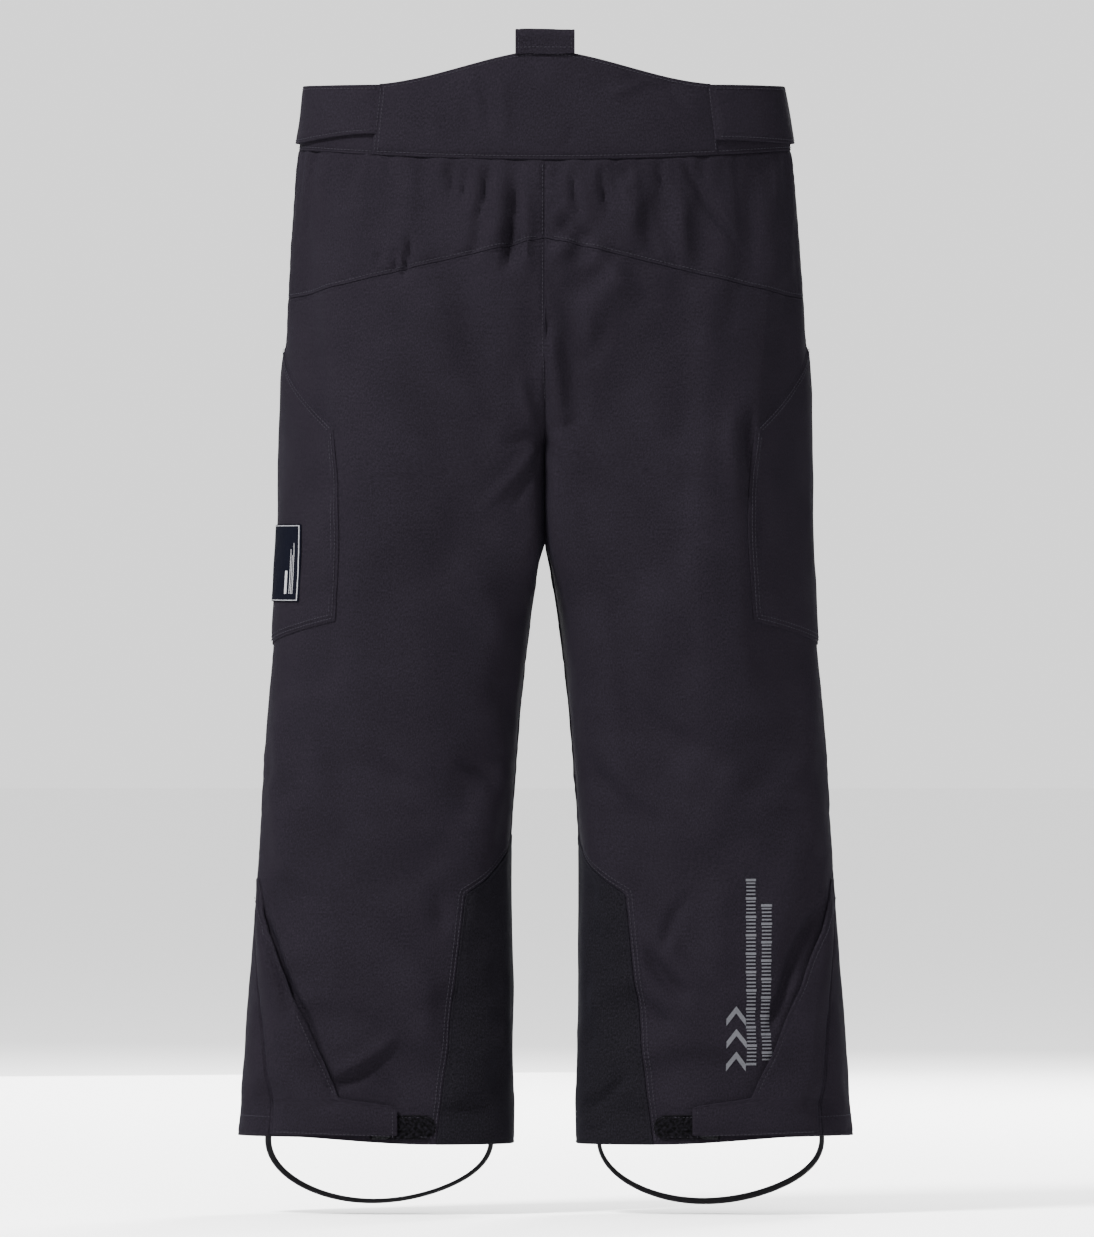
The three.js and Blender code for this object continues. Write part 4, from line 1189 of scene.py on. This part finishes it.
def make_leg_stitches():
    for side in SIDES:
        stitches = leg_stitches[side]
        s = spread(0.012, 0.495, 120)
        stitches.row(side, s, yoke_seam(s) + INSET)
        if side > 0:
            for high, low in ((float(waist_seam(0.0)), YOKE_Z), (YOKE_Z, FORK_Z + 30)):
                stitches.row(side, 0.005, spread(high - 3, low + 3, 120))
        z = spread(GUARD[1][0] - 8, HEM_Z + 3, 160)
        for sign in (1, -1):
            for inset in (2.4, 5.0):
                edge_s, edge_z = shifted(guard_half(z), z, inset)
                stitches.row(side, sign * edge_s, edge_z, 0.45)
        s = spread(float(guard_half(HEM_Z)) + 0.01, 0.99 - float(guard_half(HEM_Z)), 200)
        stitches.row(side, s, hem(s) + 14, 0.08)
        s = spread(0.52, float(waist_s(FLY_HALF + 6, -60.0, front=True)), 80)
        stitches.row(side, s, waist_seam(s) - INSET)
        z = spread(FLY_TOP - 2, FLY_FOOT + 2)
        stitches.row(side, waist_s(FLY_HALF + INSET, z, front=True), z)
        stitches.row(side, 0.995, spread(FLY_FOOT - 8, FORK_Z + 30))


# ---- Snow gaiters ----

GAITER = {"top": -600.0, "foot": -738.0, "wall": 1.2, "inset": 9.5, "half_width": 75.5, "half_depth": 46.0}
GAITER_PLEATS, GAITER_ELASTIC = 34, -722.0


def make_gaiters():
    """A sleeve inside each lower leg, gathered by the elastic at its own hem."""
    out, inner, _, _ = stations(HEM_Z)
    foot_x = (out + inner) / 2 - 3
    rows, count = np.linspace(GAITER["top"], GAITER["foot"], 60), 240
    z, angle = np.meshgrid(rows, 2 * np.pi * np.arange(count) / count, indexing="ij")
    t = smooth(-z, -GAITER["top"], -GAITER["foot"])
    out, inner, _, front = stations(z)
    x0 = lerp((out + inner) / 2, foot_x, t)
    a = lerp((out - inner) / 2 - GAITER["inset"], GAITER["half_width"], t)
    b = lerp(front - GAITER["inset"], GAITER["half_depth"], t)
    pleat = np.sin(angle * GAITER_PLEATS + 1.5 * np.sin(5 * angle)) * smooth(-z, 640, 715)
    band = smooth(-z, -GAITER_ELASTIC, -GAITER_ELASTIC + 3)
    swell = 1.1 * pleat * (1 - 0.5 * band) - 0.8 * bell(z - GAITER_ELASTIC, 1.5)
    for side in SIDES:
        grids = []
        for wall in (0.0, GAITER["wall"]):
            x = x0 + (a + swell - wall) * np.cos(angle)
            y = (b + swell - wall) * np.sin(angle)
            grids.append(np.stack([side * x, y, z], axis=-1))
        uv = np.stack([angle * GAITER["half_width"], -z], axis=-1) * MM
        gaiter = slab(f"{NAME[side]}_snow_gaiter_cloth", *grids, uv, LINING_CLOTH, wrap=True)
        show(gaiter, f"{NAME[side]}_lower_leg", "lining_fabric", f"{NAME[side]}_snow_gaiter")


make_legs()
make_leg_stitches()
make_gaiters()

# ---- Cuffs ----

FLAP = {"top": -562.0, "lift": 4.6, "thick": 1.7}
FLAP_EDGE = [(-562, 202), (-600, 194), (-640, 178.5), (-717, 145.5), (-723, 104.5), (HEM_Z, 104.5)]
CUFF_TAPE = (-729.0, -746.0)
CUFF_HOOK = {"x_from": 106.0, "x_to": 122.0, "lift": 2.8, "thick": 0.9, "material": HOOK_NAP}
CUFF_LOOP = {"x_from": 77.0, "x_to": 124.0, "lift": 1.0, "thick": 1.0, "material": LOOP_NAP}


def flap_edge(z):
    return np.minimum(shin_s(along(FLAP_EDGE, z), z), outseam(z) - 0.008)


def flap_lift(side):
    """The flap lies close to the leg where it is sewn, and its free edge waves and gapes a little."""
    def lift(e, s, z):
        wave = 0.9 * np.sin((z + 640) / 22) if side > 0 else 0.8 * np.sin((z + 600) / 27)
        gape = 2.2 * bell(z + 640, 26) if side > 0 else 1.4 * bell(z + 655, 30)
        tip = 0.0 if side > 0 else 2.4 * bell(e[0], 6) * smooth(-z, 720, 750)
        free = bell(e[0], 14) * (wave * smooth(z, -715, -690) + gape)
        stands = lerp(1.0, FLAP["lift"], smooth(e[1], 0, 16) * smooth(e[2], 0, 45))
        return stands + (free + tip) * smooth(e[2], 0, 45)
    return lift


def flap_relief(e, s, z):
    """The topstitching's groove, and a deeper one along the seam that holds the flap."""
    return hem_groove(e, s, z) - 1.1 * bell(e[1] - 1.5, 0.8)


def round_tape(side, name, x_from, x_to, lift, thick, material):
    """A hook-and-loop tape across the back of the cuff, with a rounded end towards the inseam."""
    top, foot = CUFF_TAPE
    half = (top - foot) / 2

    def inner_end(z):
        bulge = half * (1 - np.sqrt(np.clip(1 - ((z - (top + foot) / 2) / half) ** 2, 0, 1)))
        return shin_s(x_from + bulge, z)

    def fuzz(e, s, z):
        w = s * SECTION_LENGTH
        return 0.5 * NOISES[side, CRUMPLE](w / 1.3, z / 1.3) + 0.3 * smooth(np.minimum.reduce(e), 0, 2)

    return panel(name, side, inner_end, lambda z: shin_s(x_to, z), constant(top), constant(foot), lift=lift,
                 thick=thick, step=0.8, roll=0.6, material=material, relief=fuzz, gap=0.0)


def make_cuffs():
    for side in SIDES:
        name = NAME[side]
        flap = panel(f"{name}_cuff_flap_cloth", side, flap_edge, lambda z: outseam(z) - 0.0015,
                     constant(FLAP["top"]), lambda s: hem(s) + 0.6, lift=flap_lift(side),
                     thick=FLAP["thick"], step=2.2, relief=flap_relief, gap=0.0,
                     rows=[z for z, _ in FLAP_EDGE] + list(np.arange(-723, -717, 1.0)))
        show(flap, f"{name}_cuff_flap", "shell_fabric", f"{name}_cuff_flap")
        hook = round_tape(side, f"{name}_cuff_hook_tape", **CUFF_HOOK)
        show(hook, f"{name}_cuff_flap", "hook_and_loop", f"{name}_cuff_hook")
        loop = round_tape(side, f"{name}_cuff_loop_tape", **CUFF_LOOP)
        show(loop, f"{name}_lower_leg", "hook_and_loop", f"{name}_cuff_loop")
        stitches = Beads()
        z = spread(FLAP["top"] - 12, -713, 120)
        stitches.row(side, *shifted(flap_edge(z), z, 2.8), FLAP["lift"] + 0.1)
        z = spread(-726, HEM_Z + 4)
        stitches.row(side, flap_edge(z) + 2.8 / SECTION_LENGTH, z, FLAP["lift"] + 0.1)
        s = spread(float(flap_edge(-735)) + 0.008, 0.37, 100)
        stitches.row(side, s, hem(s) + 3.6, FLAP["lift"] + 0.1)
        show(stitches.piece(f"{name}_cuff_flap_stitches", THREAD), f"{name}_cuff_flap", "shell_fabric")
        s = spread(float(shin_s(83, -737)), float(shin_s(104, -737)), 40)
        for height in (CUFF_TAPE[0] - 1.6, CUFF_TAPE[1] + 1.6):
            leg_stitches[side].row(side, s, height, CUFF_LOOP["lift"])


STIRRUP = {"drop": 46.5, "half": 79.0, "top": -745.0, "width": 8.0, "thick": 1.3, "tilt": 21.0, "twist": 7.0}


def make_stirrups():
    """Flat elastic under the boot, seen nearly on edge and a little twisted."""
    out, inner, _, _ = stations(HEM_Z)
    centre = float((out + inner) / 2 - 3)
    t = np.linspace(0, 1, 180)
    for side in SIDES:
        angle = np.pi * t
        path = np.stack([
            centre + STIRRUP["half"] * np.cos(angle) * (1 + 0.02 * np.sin(3 * angle)),
            1.2 * np.sin(2 * angle + side),
            STIRRUP["top"] - STIRRUP["drop"] * np.sin(angle) * (1 + 0.03 * side * np.sin(2 * angle)),
        ], axis=1)
        rise = np.linspace(6, 0.6, 7)[:, None]
        path = np.concatenate([path[0] + rise * [0, 0, 1], path, path[-1] + rise[::-1] * [0, 0, 1]])
        run = unit(np.gradient(path, axis=0))
        waver = np.sin(np.linspace(0.5, 5.5, len(path)) + side)
        turn = math.radians(STIRRUP["tilt"]) + math.radians(STIRRUP["twist"]) * waver
        flat = unit(np.cross(run, [0, 1.0, 0]))
        wide = np.cos(turn)[:, None] * np.array([0, 1.0, 0]) + np.sin(turn)[:, None] * flat
        high = np.cross(run, wide)
        across = lines(STIRRUP["width"], 0.9) * STIRRUP["width"] - STIRRUP["width"] / 2
        body = path[:, None] + wide[:, None] * across[None, :, None]
        half = STIRRUP["thick"] / 2 + rolled(STIRRUP["width"] / 2 - np.abs(across), 0.5)
        grids = [(body + sign * high[:, None] * half[None, :, None]) * [side, 1, 1] for sign in (1, -1)]
        length = np.concatenate([[0], np.cumsum(np.linalg.norm(np.diff(path, axis=0), axis=1))])
        uv = np.stack(np.meshgrid(across, length), -1) * MM
        ribbon = slab(f"{NAME[side]}_stirrup_elastic", *grids, uv, BAND_ELASTIC)
        show(ribbon, f"{NAME[side]}_stirrup", "elastic", f"{NAME[side]}_stirrup")


make_cuffs()
make_stirrups()

# ---- Cargo pockets, label and print ----

CARGO = {"rear": 0.338, "front": 0.66, "lift": 1.8, "thick": 1.5, "top": -182.0, "corner": -242.0,
         "low_corner": -380.0, "foot": -397.0}


def towards_side(s):
    return 1 - np.clip(np.abs(s - 0.5) / 0.16, 0, 1)


def cargo_top(s):
    return lerp(CARGO["corner"], CARGO["top"], towards_side(s))


def cargo_foot(s):
    return lerp(CARGO["low_corner"], CARGO["foot"], towards_side(s))


def pocket_lift(e, s, z):
    """The patch comes up from the leg at its sewn edges."""
    at_edge, at_top = 1 - smooth(np.minimum.reduce(e), 0, 5), 1 - smooth(e[2], 0, 14)
    return CARGO["lift"] - 0.9 * at_edge - 0.7 * at_top


def pocket_relief(side):
    def relief(e, s, z):
        nearest = np.minimum.reduce(e)
        w = s * SECTION_LENGTH
        puff = 1.0 * (1 - np.exp(-nearest / 14)) + 0.4 * NOISES[side, SOFT](w / 18, z / 22)
        grooves = 0.35 * bell(nearest - INSET, 0.9), 0.25 * bell(nearest - DOUBLE, 0.9)
        return puff * smooth(nearest, 0, 8) - grooves[0] - grooves[1]
    return relief


def make_cargo_pockets():
    for side in SIDES:
        name = NAME[side]
        pocket = panel(f"{name}_cargo_pocket_cloth", side, constant(CARGO["rear"]), constant(CARGO["front"]),
                       cargo_top, cargo_foot, lift=pocket_lift, thick=CARGO["thick"], step=2.4, gap=0.0,
                       relief=pocket_relief(side), columns=(0.5,))
        show(pocket, "upper", "shell_fabric", f"{name}_cargo_pocket")
        for inset in (INSET, DOUBLE):
            rear = CARGO["rear"] + inset / SECTION_LENGTH
            front = CARGO["front"] - inset / SECTION_LENGTH
            s = spread(rear, front, 160)
            z = spread(CARGO["corner"] - inset - 2, CARGO["low_corner"] + inset)
            for row in ((s, cargo_top(s) - inset * 1.15), (s, cargo_foot(s) + inset), (rear, z), (front, z)):
                upper_stitches.row(side, *row, CARGO["lift"] + 0.1)


LABEL = {"rear": 0.405, "front": 0.525, "top": -311.5, "foot": -366.0, "lift": CARGO["lift"] + 2.0}


def make_label():
    label = panel("side_label_cloth", 1, constant(LABEL["rear"]), constant(LABEL["front"]),
                  constant(LABEL["top"]), constant(LABEL["foot"]), lift=LABEL["lift"], thick=0.8, step=1.6,
                  roll=0.4, gap=0.0, unit_uv=True, material=BADGE)
    show(label, "upper", "label_fabric", "side_label")


PRINT_LIFT, PRINT_THICK = 0.3, 0.12
PRINT_ROWS = ((145.5, 6.4, -562.0, -694.0), (156.0, 6.4, -580.0, -691.0))  # x, width, top and foot
TICK, TICK_PITCH = 1.1, 2.6
LONG_TICK_EVERY = 5
CHEVRONS = (-652.0, -668.0, -684.0)
CHEVRON = {"x": 135.0, "half": 7.0, "height": 9.0, "thick": 5.0}


def printed(side, corners):
    """A thin printed shape on the cloth between corners (x, z), given round it as four points."""
    u, v = np.meshgrid(np.linspace(0, 1, 9), np.linspace(0, 1, 3))
    corners = np.array(corners, float)
    top = corners[0] + (corners[1] - corners[0]) * u[..., None]
    foot = corners[3] + (corners[2] - corners[3]) * u[..., None]
    x, z = np.moveaxis(top + (foot - top) * v[..., None], -1, 0)
    s = shin_s(x, z)
    return cloth(side, s, z, PRINT_LIFT), cloth(side, s, z, PRINT_LIFT - PRINT_THICK)


def print_shapes():
    """Two upright rows of ticks, like a ruler's, and three chevrons beside their foot."""
    for x, width, high, low in PRINT_ROWS:
        for k, z in enumerate(np.arange(high, low, -TICK_PITCH)):
            long = k % LONG_TICK_EVERY == 0
            half = width / 2 + 0.4 if long else width / 2
            thick = 1.6 * TICK if long else TICK
            yield (x - half, z), (x + half, z), (x + half, z - thick), (x - half, z - thick)
    for high in CHEVRONS:
        x, foot, thick = CHEVRON["x"], high - CHEVRON["height"], CHEVRON["thick"]
        for end in (x - CHEVRON["half"], x + CHEVRON["half"]):
            yield (x, high), (end, foot), (end, foot - thick), (x, high - thick)


def make_print():
    """The ink on the right leg."""
    points, faces, count = [], [], 0
    for corners in print_shapes():
        outer, inner = printed(-1, corners)
        rows, columns = outer.shape[:2]
        index = np.arange(rows * columns).reshape(rows, columns)
        under = index + rows * columns
        rim = np.concatenate([index[0], index[1:, -1], index[-1, -2::-1], index[-2:0:-1, 0]])
        walls = grid_faces(np.stack([rim + rows * columns, rim]), wrap=True)
        parts = [grid_faces(index), grid_faces(under)[:, ::-1], walls]
        flat = np.concatenate([outer.reshape(-1, 3), inner.reshape(-1, 3)])
        faces += [part + count for part in facing_out(flat, parts)]
        points.append(flat)
        count += len(flat)
    ink = add_object("right_leg_print", np.concatenate(points), [np.concatenate(faces)], PRINT)
    show(ink, "right_lower_leg", "label_fabric")


make_cargo_pockets()
make_label()
make_print()

# ---- Zips ----

ZIP_STANDS, SLIDER_REST = 0.3, 9.0  # a pocket slider's height over its zip, and its distance from the end
TAPE_DROP = -1.2  # the fly tape's face under the skin
SHIELD_HALF = 14.0  # half the width of the fly's shield


def zip_line(slider, start, end, offset, half=5.0):
    """The straight line that a slider's zip lies on: its centre, axes (across, up, out) and length."""
    a, b = raised(*start, offset), raised(*end, offset)
    slide = next(joint for joint in frame["joints"] if joint["name"] == f"{slider}_slide")
    up = -unit(np.array(slide["axis"], float))
    middle = normals((start[0] + end[0]) / 2, (start[1] + end[1]) / 2)
    out = unit(middle - up * np.dot(middle, up))
    across = np.cross(up, out)
    t = np.arange(17) / 16
    lift = 0.0
    for shift in (-half, 0, half):
        spots = raised(lerp(start[0], end[0], t) + shift / SECTION_LENGTH, lerp(start[1], end[1], t), offset)
        lift = max(lift, float(np.max((spots - a) @ out)))
    length = float(np.linalg.norm(a - b))
    centre = a - up * length / 2 + out * lift
    return {"centre": centre, "axes": np.stack([across, up, out]), "length": length}


LINES = {
    "hand": zip_line("left_hand_slider", *HAND_ENDS, 0.0),
    "cargo": zip_line("left_cargo_slider", *CARGO_ENDS, 2.8),
    "fly": zip_line("fly_slider", (1.0, FLY_TOP - 4), (1.0, FLY_FOOT + 4), TAPE_DROP),
}


def placed(line, side, shift=(0.0, 0.0, 0.0)):
    """Turns points (across, up, out) in the zip's frame into the garment's, mirrored on the right side."""
    return lambda points: (line["centre"] + (np.asarray(points) + shift) @ line["axes"]) * [side, 1, 1]


def bar(name, profile, length, place, material, taper=2.0):
    """A closed bar along the zip from a profile of (across, out) points, rounded off towards both ends."""
    profile = np.array(profile, float)
    centre = profile.mean(axis=0)
    stops = np.concatenate([np.linspace(0, taper, 5), np.linspace(taper, length - taper, 40)[1:-1],
                            np.linspace(length - taper, length, 5)])
    end = np.minimum(stops, length - stops)
    size = np.sqrt(np.clip(1 - (1 - np.clip(end / taper, 0.02, 1)) ** 2, 0, 1))
    rings = centre + (profile - centre) * size[:, None, None]
    points = np.stack([rings[..., 0], np.broadcast_to(stops[:, None] - length / 2, rings.shape[:2]),
                       rings[..., 1]], axis=-1)
    index = np.arange(points[..., 0].size).reshape(points.shape[:2])
    flat = points.reshape(-1, 3)
    around = np.linalg.norm(np.diff(profile, axis=0, append=profile[:1]), axis=1).cumsum()
    uv = np.stack(np.broadcast_arrays(around[None], stops[:, None]), -1).reshape(-1, 2) * MM
    faces = [grid_faces(index, wrap=True), index[:1, ::-1], index[-1:]]
    return add_object(name, place(flat), faces, material, uv)


def arc(cx, cy, rx, ry, start, end, count):
    angles = np.radians(np.linspace(start, end, count))
    return [(cx + rx * math.cos(a), cy + ry * math.sin(a)) for a in angles]


def coil(name, line, face, place, room=2.0):
    """Interlocked coil teeth: a row of short bars across the tape."""
    teeth = Beads()
    ups = np.arange(-line["length"] / 2 + room, line["length"] / 2 - room, 1.5)
    for offset, tilt in ((-0.55, 0.25), (0.55, -0.25)):
        centres = np.stack([0 * ups + offset, ups + (0.75 if offset > 0 else 0), 0 * ups + face], axis=1)
        directions = unit(np.tile([1.0, tilt, 0.0], (len(ups), 1)))
        teeth.add(centres, directions, np.tile([0, 0, 1.0], (len(ups), 1)), 3.4, 0.62, flat=0.9)
    points, quads, ends = teeth.joined()
    return add_object(name, place(points), [quads, ends], TEETH)


# One rolled welt beside a zip, whose outer side sinks into the cloth.
WELT_PROFILE = [(3.3, -1.4), (3.1, 0.2), *arc(4.1, 0.2, 1.0, 0.8, 180, 60, 6), (6.2, 0.65), (8.2, -0.5),
                (9.4, -2.4), (8.6, -3.2)]
TAPE_PROFILE = ((-5.4, -1.3), (-5.4, -0.7), (-1.2, -0.35), (1.2, -0.35), (5.4, -0.7), (5.4, -1.3))


def make_pocket_zips():
    for side in SIDES:
        for kind in ("hand", "cargo"):
            line = LINES[kind]
            name = f"{NAME[side]}_{kind}"
            place = placed(line, side)
            tape = bar(f"{name}_zip_tape", TAPE_PROFILE, line["length"] + 2, place, ZIP_TAPE, taper=0.8)
            show(tape, "upper", "zip_tape", f"{name}_zip")
            show(coil(f"{name}_zip_teeth", line, -0.15, place), "upper", "zip_tape")
            for sign, which in ((1, "front"), (-1, "rear")):
                profile = [(sign * x, y) for x, y in WELT_PROFILE]
                lip = bar(f"{name}_zip_{which}_welt", profile, line["length"] + 9, place, SHELL, taper=4.0)
                show(lip, "upper", "shell_fabric")


def make_fly():
    for side in SIDES:
        tape = panel(f"{NAME[side]}_fly_tape_cloth", side, upright(FLY_HALF + 1.5), constant(1.0),
                     constant(FLY_TOP), constant(FLY_FOOT + 0.5), lift=TAPE_DROP, thick=1.1, step=2.0,
                     roll=0.3, material=ZIP_TAPE)
        show(tape, "upper", "zip_tape", f"{NAME[side]}_fly_tape")
    shield = panel("fly_shield_cloth", 1, upright(SHIELD_HALF), upright(-SHIELD_HALF), constant(FLY_TOP),
                   constant(FLY_FOOT + 2), lift=-4.4, thick=1.2, step=2.5, roll=0.5, material=LINING_CLOTH,
                   still=True)
    show(shield, "upper", "lining_fabric", "fly_shield")
    line = LINES["fly"]
    show(coil("fly_zip_teeth", line, 0.35, placed(line, 1), room=1.0), "upper", "zip_tape")


def prism(name, outline, low, high, place, material, bevel=0.4):
    """A closed flat-sided piece from an outline of (x, y) points, with bevelled rims."""
    outline = np.array(outline, float)
    centre = outline.mean(axis=0)
    radius = np.linalg.norm(outline - centre, axis=1, keepdims=True)
    rings = []
    for inset, height in ((bevel, low), (bevel * 0.3, low + bevel * 0.3), (0, low + bevel),
                          (0, high - bevel), (bevel * 0.3, high - bevel * 0.3), (bevel, high)):
        ring = centre + (outline - centre) * (1 - inset / radius)
        rings.append(np.column_stack([ring, np.full(len(ring), height)]))
    index = np.arange(len(rings) * len(outline)).reshape(len(rings), len(outline))
    faces = [grid_faces(index, wrap=True), index[:1, ::-1], index[-1:]]
    return add_object(name, place(np.concatenate(rings)), faces, material)


WIRE_SIDES = 12


def wire(name, path, radius, place, material, closed=False):
    """A round wire along a path, closed round or with closed ends."""
    path = np.array(path, float)
    if closed:
        run = unit(np.roll(path, -1, axis=0) - np.roll(path, 1, axis=0))
    else:
        run = unit(np.gradient(path, axis=0))
    stays_upright = np.ptp(path[:, 0]) < 0.01
    square_to_path = [1.0, 0, 0] if stays_upright else [0, 0, 1.0]
    first = unit(np.cross(run, square_to_path))
    second = np.cross(run, first)
    angles = 2 * np.pi * np.arange(WIRE_SIDES) / WIRE_SIDES
    rings = path[:, None] + radius * (first[:, None] * np.cos(angles)[None, :, None]
                                      + second[:, None] * np.sin(angles)[None, :, None])
    index = np.arange(len(path) * WIRE_SIDES).reshape(len(path), WIRE_SIDES)
    if closed:
        faces = [grid_faces(np.concatenate([index, index[:1]]), wrap=True)]
    else:
        faces = [grid_faces(index, wrap=True), index[:1, ::-1], index[-1:]]
    return add_object(name, place(rings.reshape(-1, 3)), faces, material)


PULL_AXIS = 4.6  # the pull's pivot over the zip's face
BRIDGE_WIRE, LINK_WIRE = 0.5, 0.48  # radii
SLIDER_OUTLINE = [*arc(0, 3.3, 4.0, 2.2, 0, 180, 11), (-4.0, 0.4), (-2.9, -2.5),
                  *arc(0, -4.0, 2.1, 1.5, 180, 360, 9), (2.9, -2.5), (4.0, 0.4)]
GRIP_OUTLINE = [(-1.5, -7.5), (1.5, -7.5), (2.6, -9.5), (2.7, -20.0), *arc(0, -21.3, 2.7, 2.7, 0, -180, 11),
                (-2.7, -20.0), (-2.6, -9.5)]


def make_slider(name, line, face, side):
    """A slider on its zip's face, with a bridge, and the pull that swings from the bridge."""
    place = placed(line, side, (0.0, line["length"] / 2 - SLIDER_REST, face))
    lower = prism(f"{name}_slider_body", SLIDER_OUTLINE, 0.6, 3.3, place, METAL, bevel=0.6)
    show(lower, f"{name}_slider", "dark_metal", f"{name}_slider")
    arch = [(0, y, z) for y, z in arc(0, PULL_AXIS, 2.3, 2.25, -50, 230, 25)]
    show(wire(f"{name}_slider_bridge", arch, BRIDGE_WIRE, place, METAL), f"{name}_slider", "dark_metal")
    link = [(x, y, PULL_AXIS) for x, y in (
        *arc(1.6, -0.7, 0.8, 0.8, 90, 0, 5), *arc(1.3, -8.0, 1.1, 1.1, 0, -90, 5),
        *arc(-1.3, -8.0, 1.1, 1.1, -90, -180, 5), *arc(-1.6, -0.7, 0.8, 0.8, 180, 90, 5))]
    ring = wire(f"{name}_pull_link", link, LINK_WIRE, place, METAL, closed=True)
    show(ring, f"{name}_pull", "dark_metal", f"{name}_pull")
    grip = prism(f"{name}_pull_grip", GRIP_OUTLINE, PULL_AXIS - 0.9, PULL_AXIS + 0.9, place, GRIP, bevel=0.5)
    show(grip, f"{name}_pull", "pull_cord")


def make_sliders():
    make_slider("fly", LINES["fly"], 0.0, 1)
    for side in SIDES:
        for kind in ("hand", "cargo"):
            make_slider(f"{NAME[side]}_{kind}", LINES[kind], ZIP_STANDS, side)


make_pocket_zips()
make_fly()
make_sliders()
show(upper_stitches.piece("pocket_stitches", THREAD), "upper", "shell_fabric")
for side in SIDES:
    show_bending(leg_stitches[side].piece(f"{NAME[side]}_leg_stitches", THREAD), side, "shell_fabric")

# ---- Studio ----

FLOOR_Z = -800.0
FLOOR_HALF, FLOOR_THICK = 30000.0, 10.0
FLOOR_PAINT = (0.93, 0.93, 0.93)
SKY_STRENGTH = 1.5
LIGHTS = (  # name, place in metres, size in metres, power
    ("key", (2.0, 1.9, 2.6), 0.9, 660.0),
    ("fill", (-1.6, 3.0, 0.2), 2.0, 35.0),
    ("low_fill", (1.3, 2.5, -0.8), 1.5, 9.0),
    ("front_key", (-1.0, -3.1, 1.4), 1.1, 330.0),
    ("front_fill", (0.9, -3.3, 0.2), 2.0, 60.0),
    ("top", (0.0, 0.0, 2.4), 2.0, 25.0),
)


def make_studio():
    corners = np.array([(x, y, 0) for x, y in ((-1, -1), (1, -1), (1, 1), (-1, 1))]) * FLOOR_HALF
    low = corners - [0, 0, FLOOR_THICK]
    faces = [[(0, 1, 2, 3)], [(7, 6, 5, 4)], [(k, k + 4, (k + 1) % 4 + 4, (k + 1) % 4) for k in range(4)]]
    points = np.concatenate([corners, low]) + [0, 0, FLOOR_Z]
    floor = add_object("floor", points, faces, moulded("floor_paint", FLOOR_PAINT, 0.9))
    world = bpy.data.worlds.new("studio")
    bpy.context.scene.world = world
    world.use_nodes = True
    background = world.node_tree.nodes["Background"]
    background.inputs["Color"].default_value = (1.0, 1.0, 1.0, 1.0)
    background.inputs["Strength"].default_value = SKY_STRENGTH
    middle = Vector((0, 0, FRAME_CENTRE[1] * MM))
    for name, place, size, power in LIGHTS:
        data = bpy.data.lights.new(name, "AREA")
        data.size = size
        data.energy = power
        light = bpy.data.objects.new(name, data)
        light.location = place
        light.rotation_euler = (middle - Vector(place)).to_track_quat("-Z", "Y").to_euler()
        bpy.context.scene.collection.objects.link(light)


make_studio()
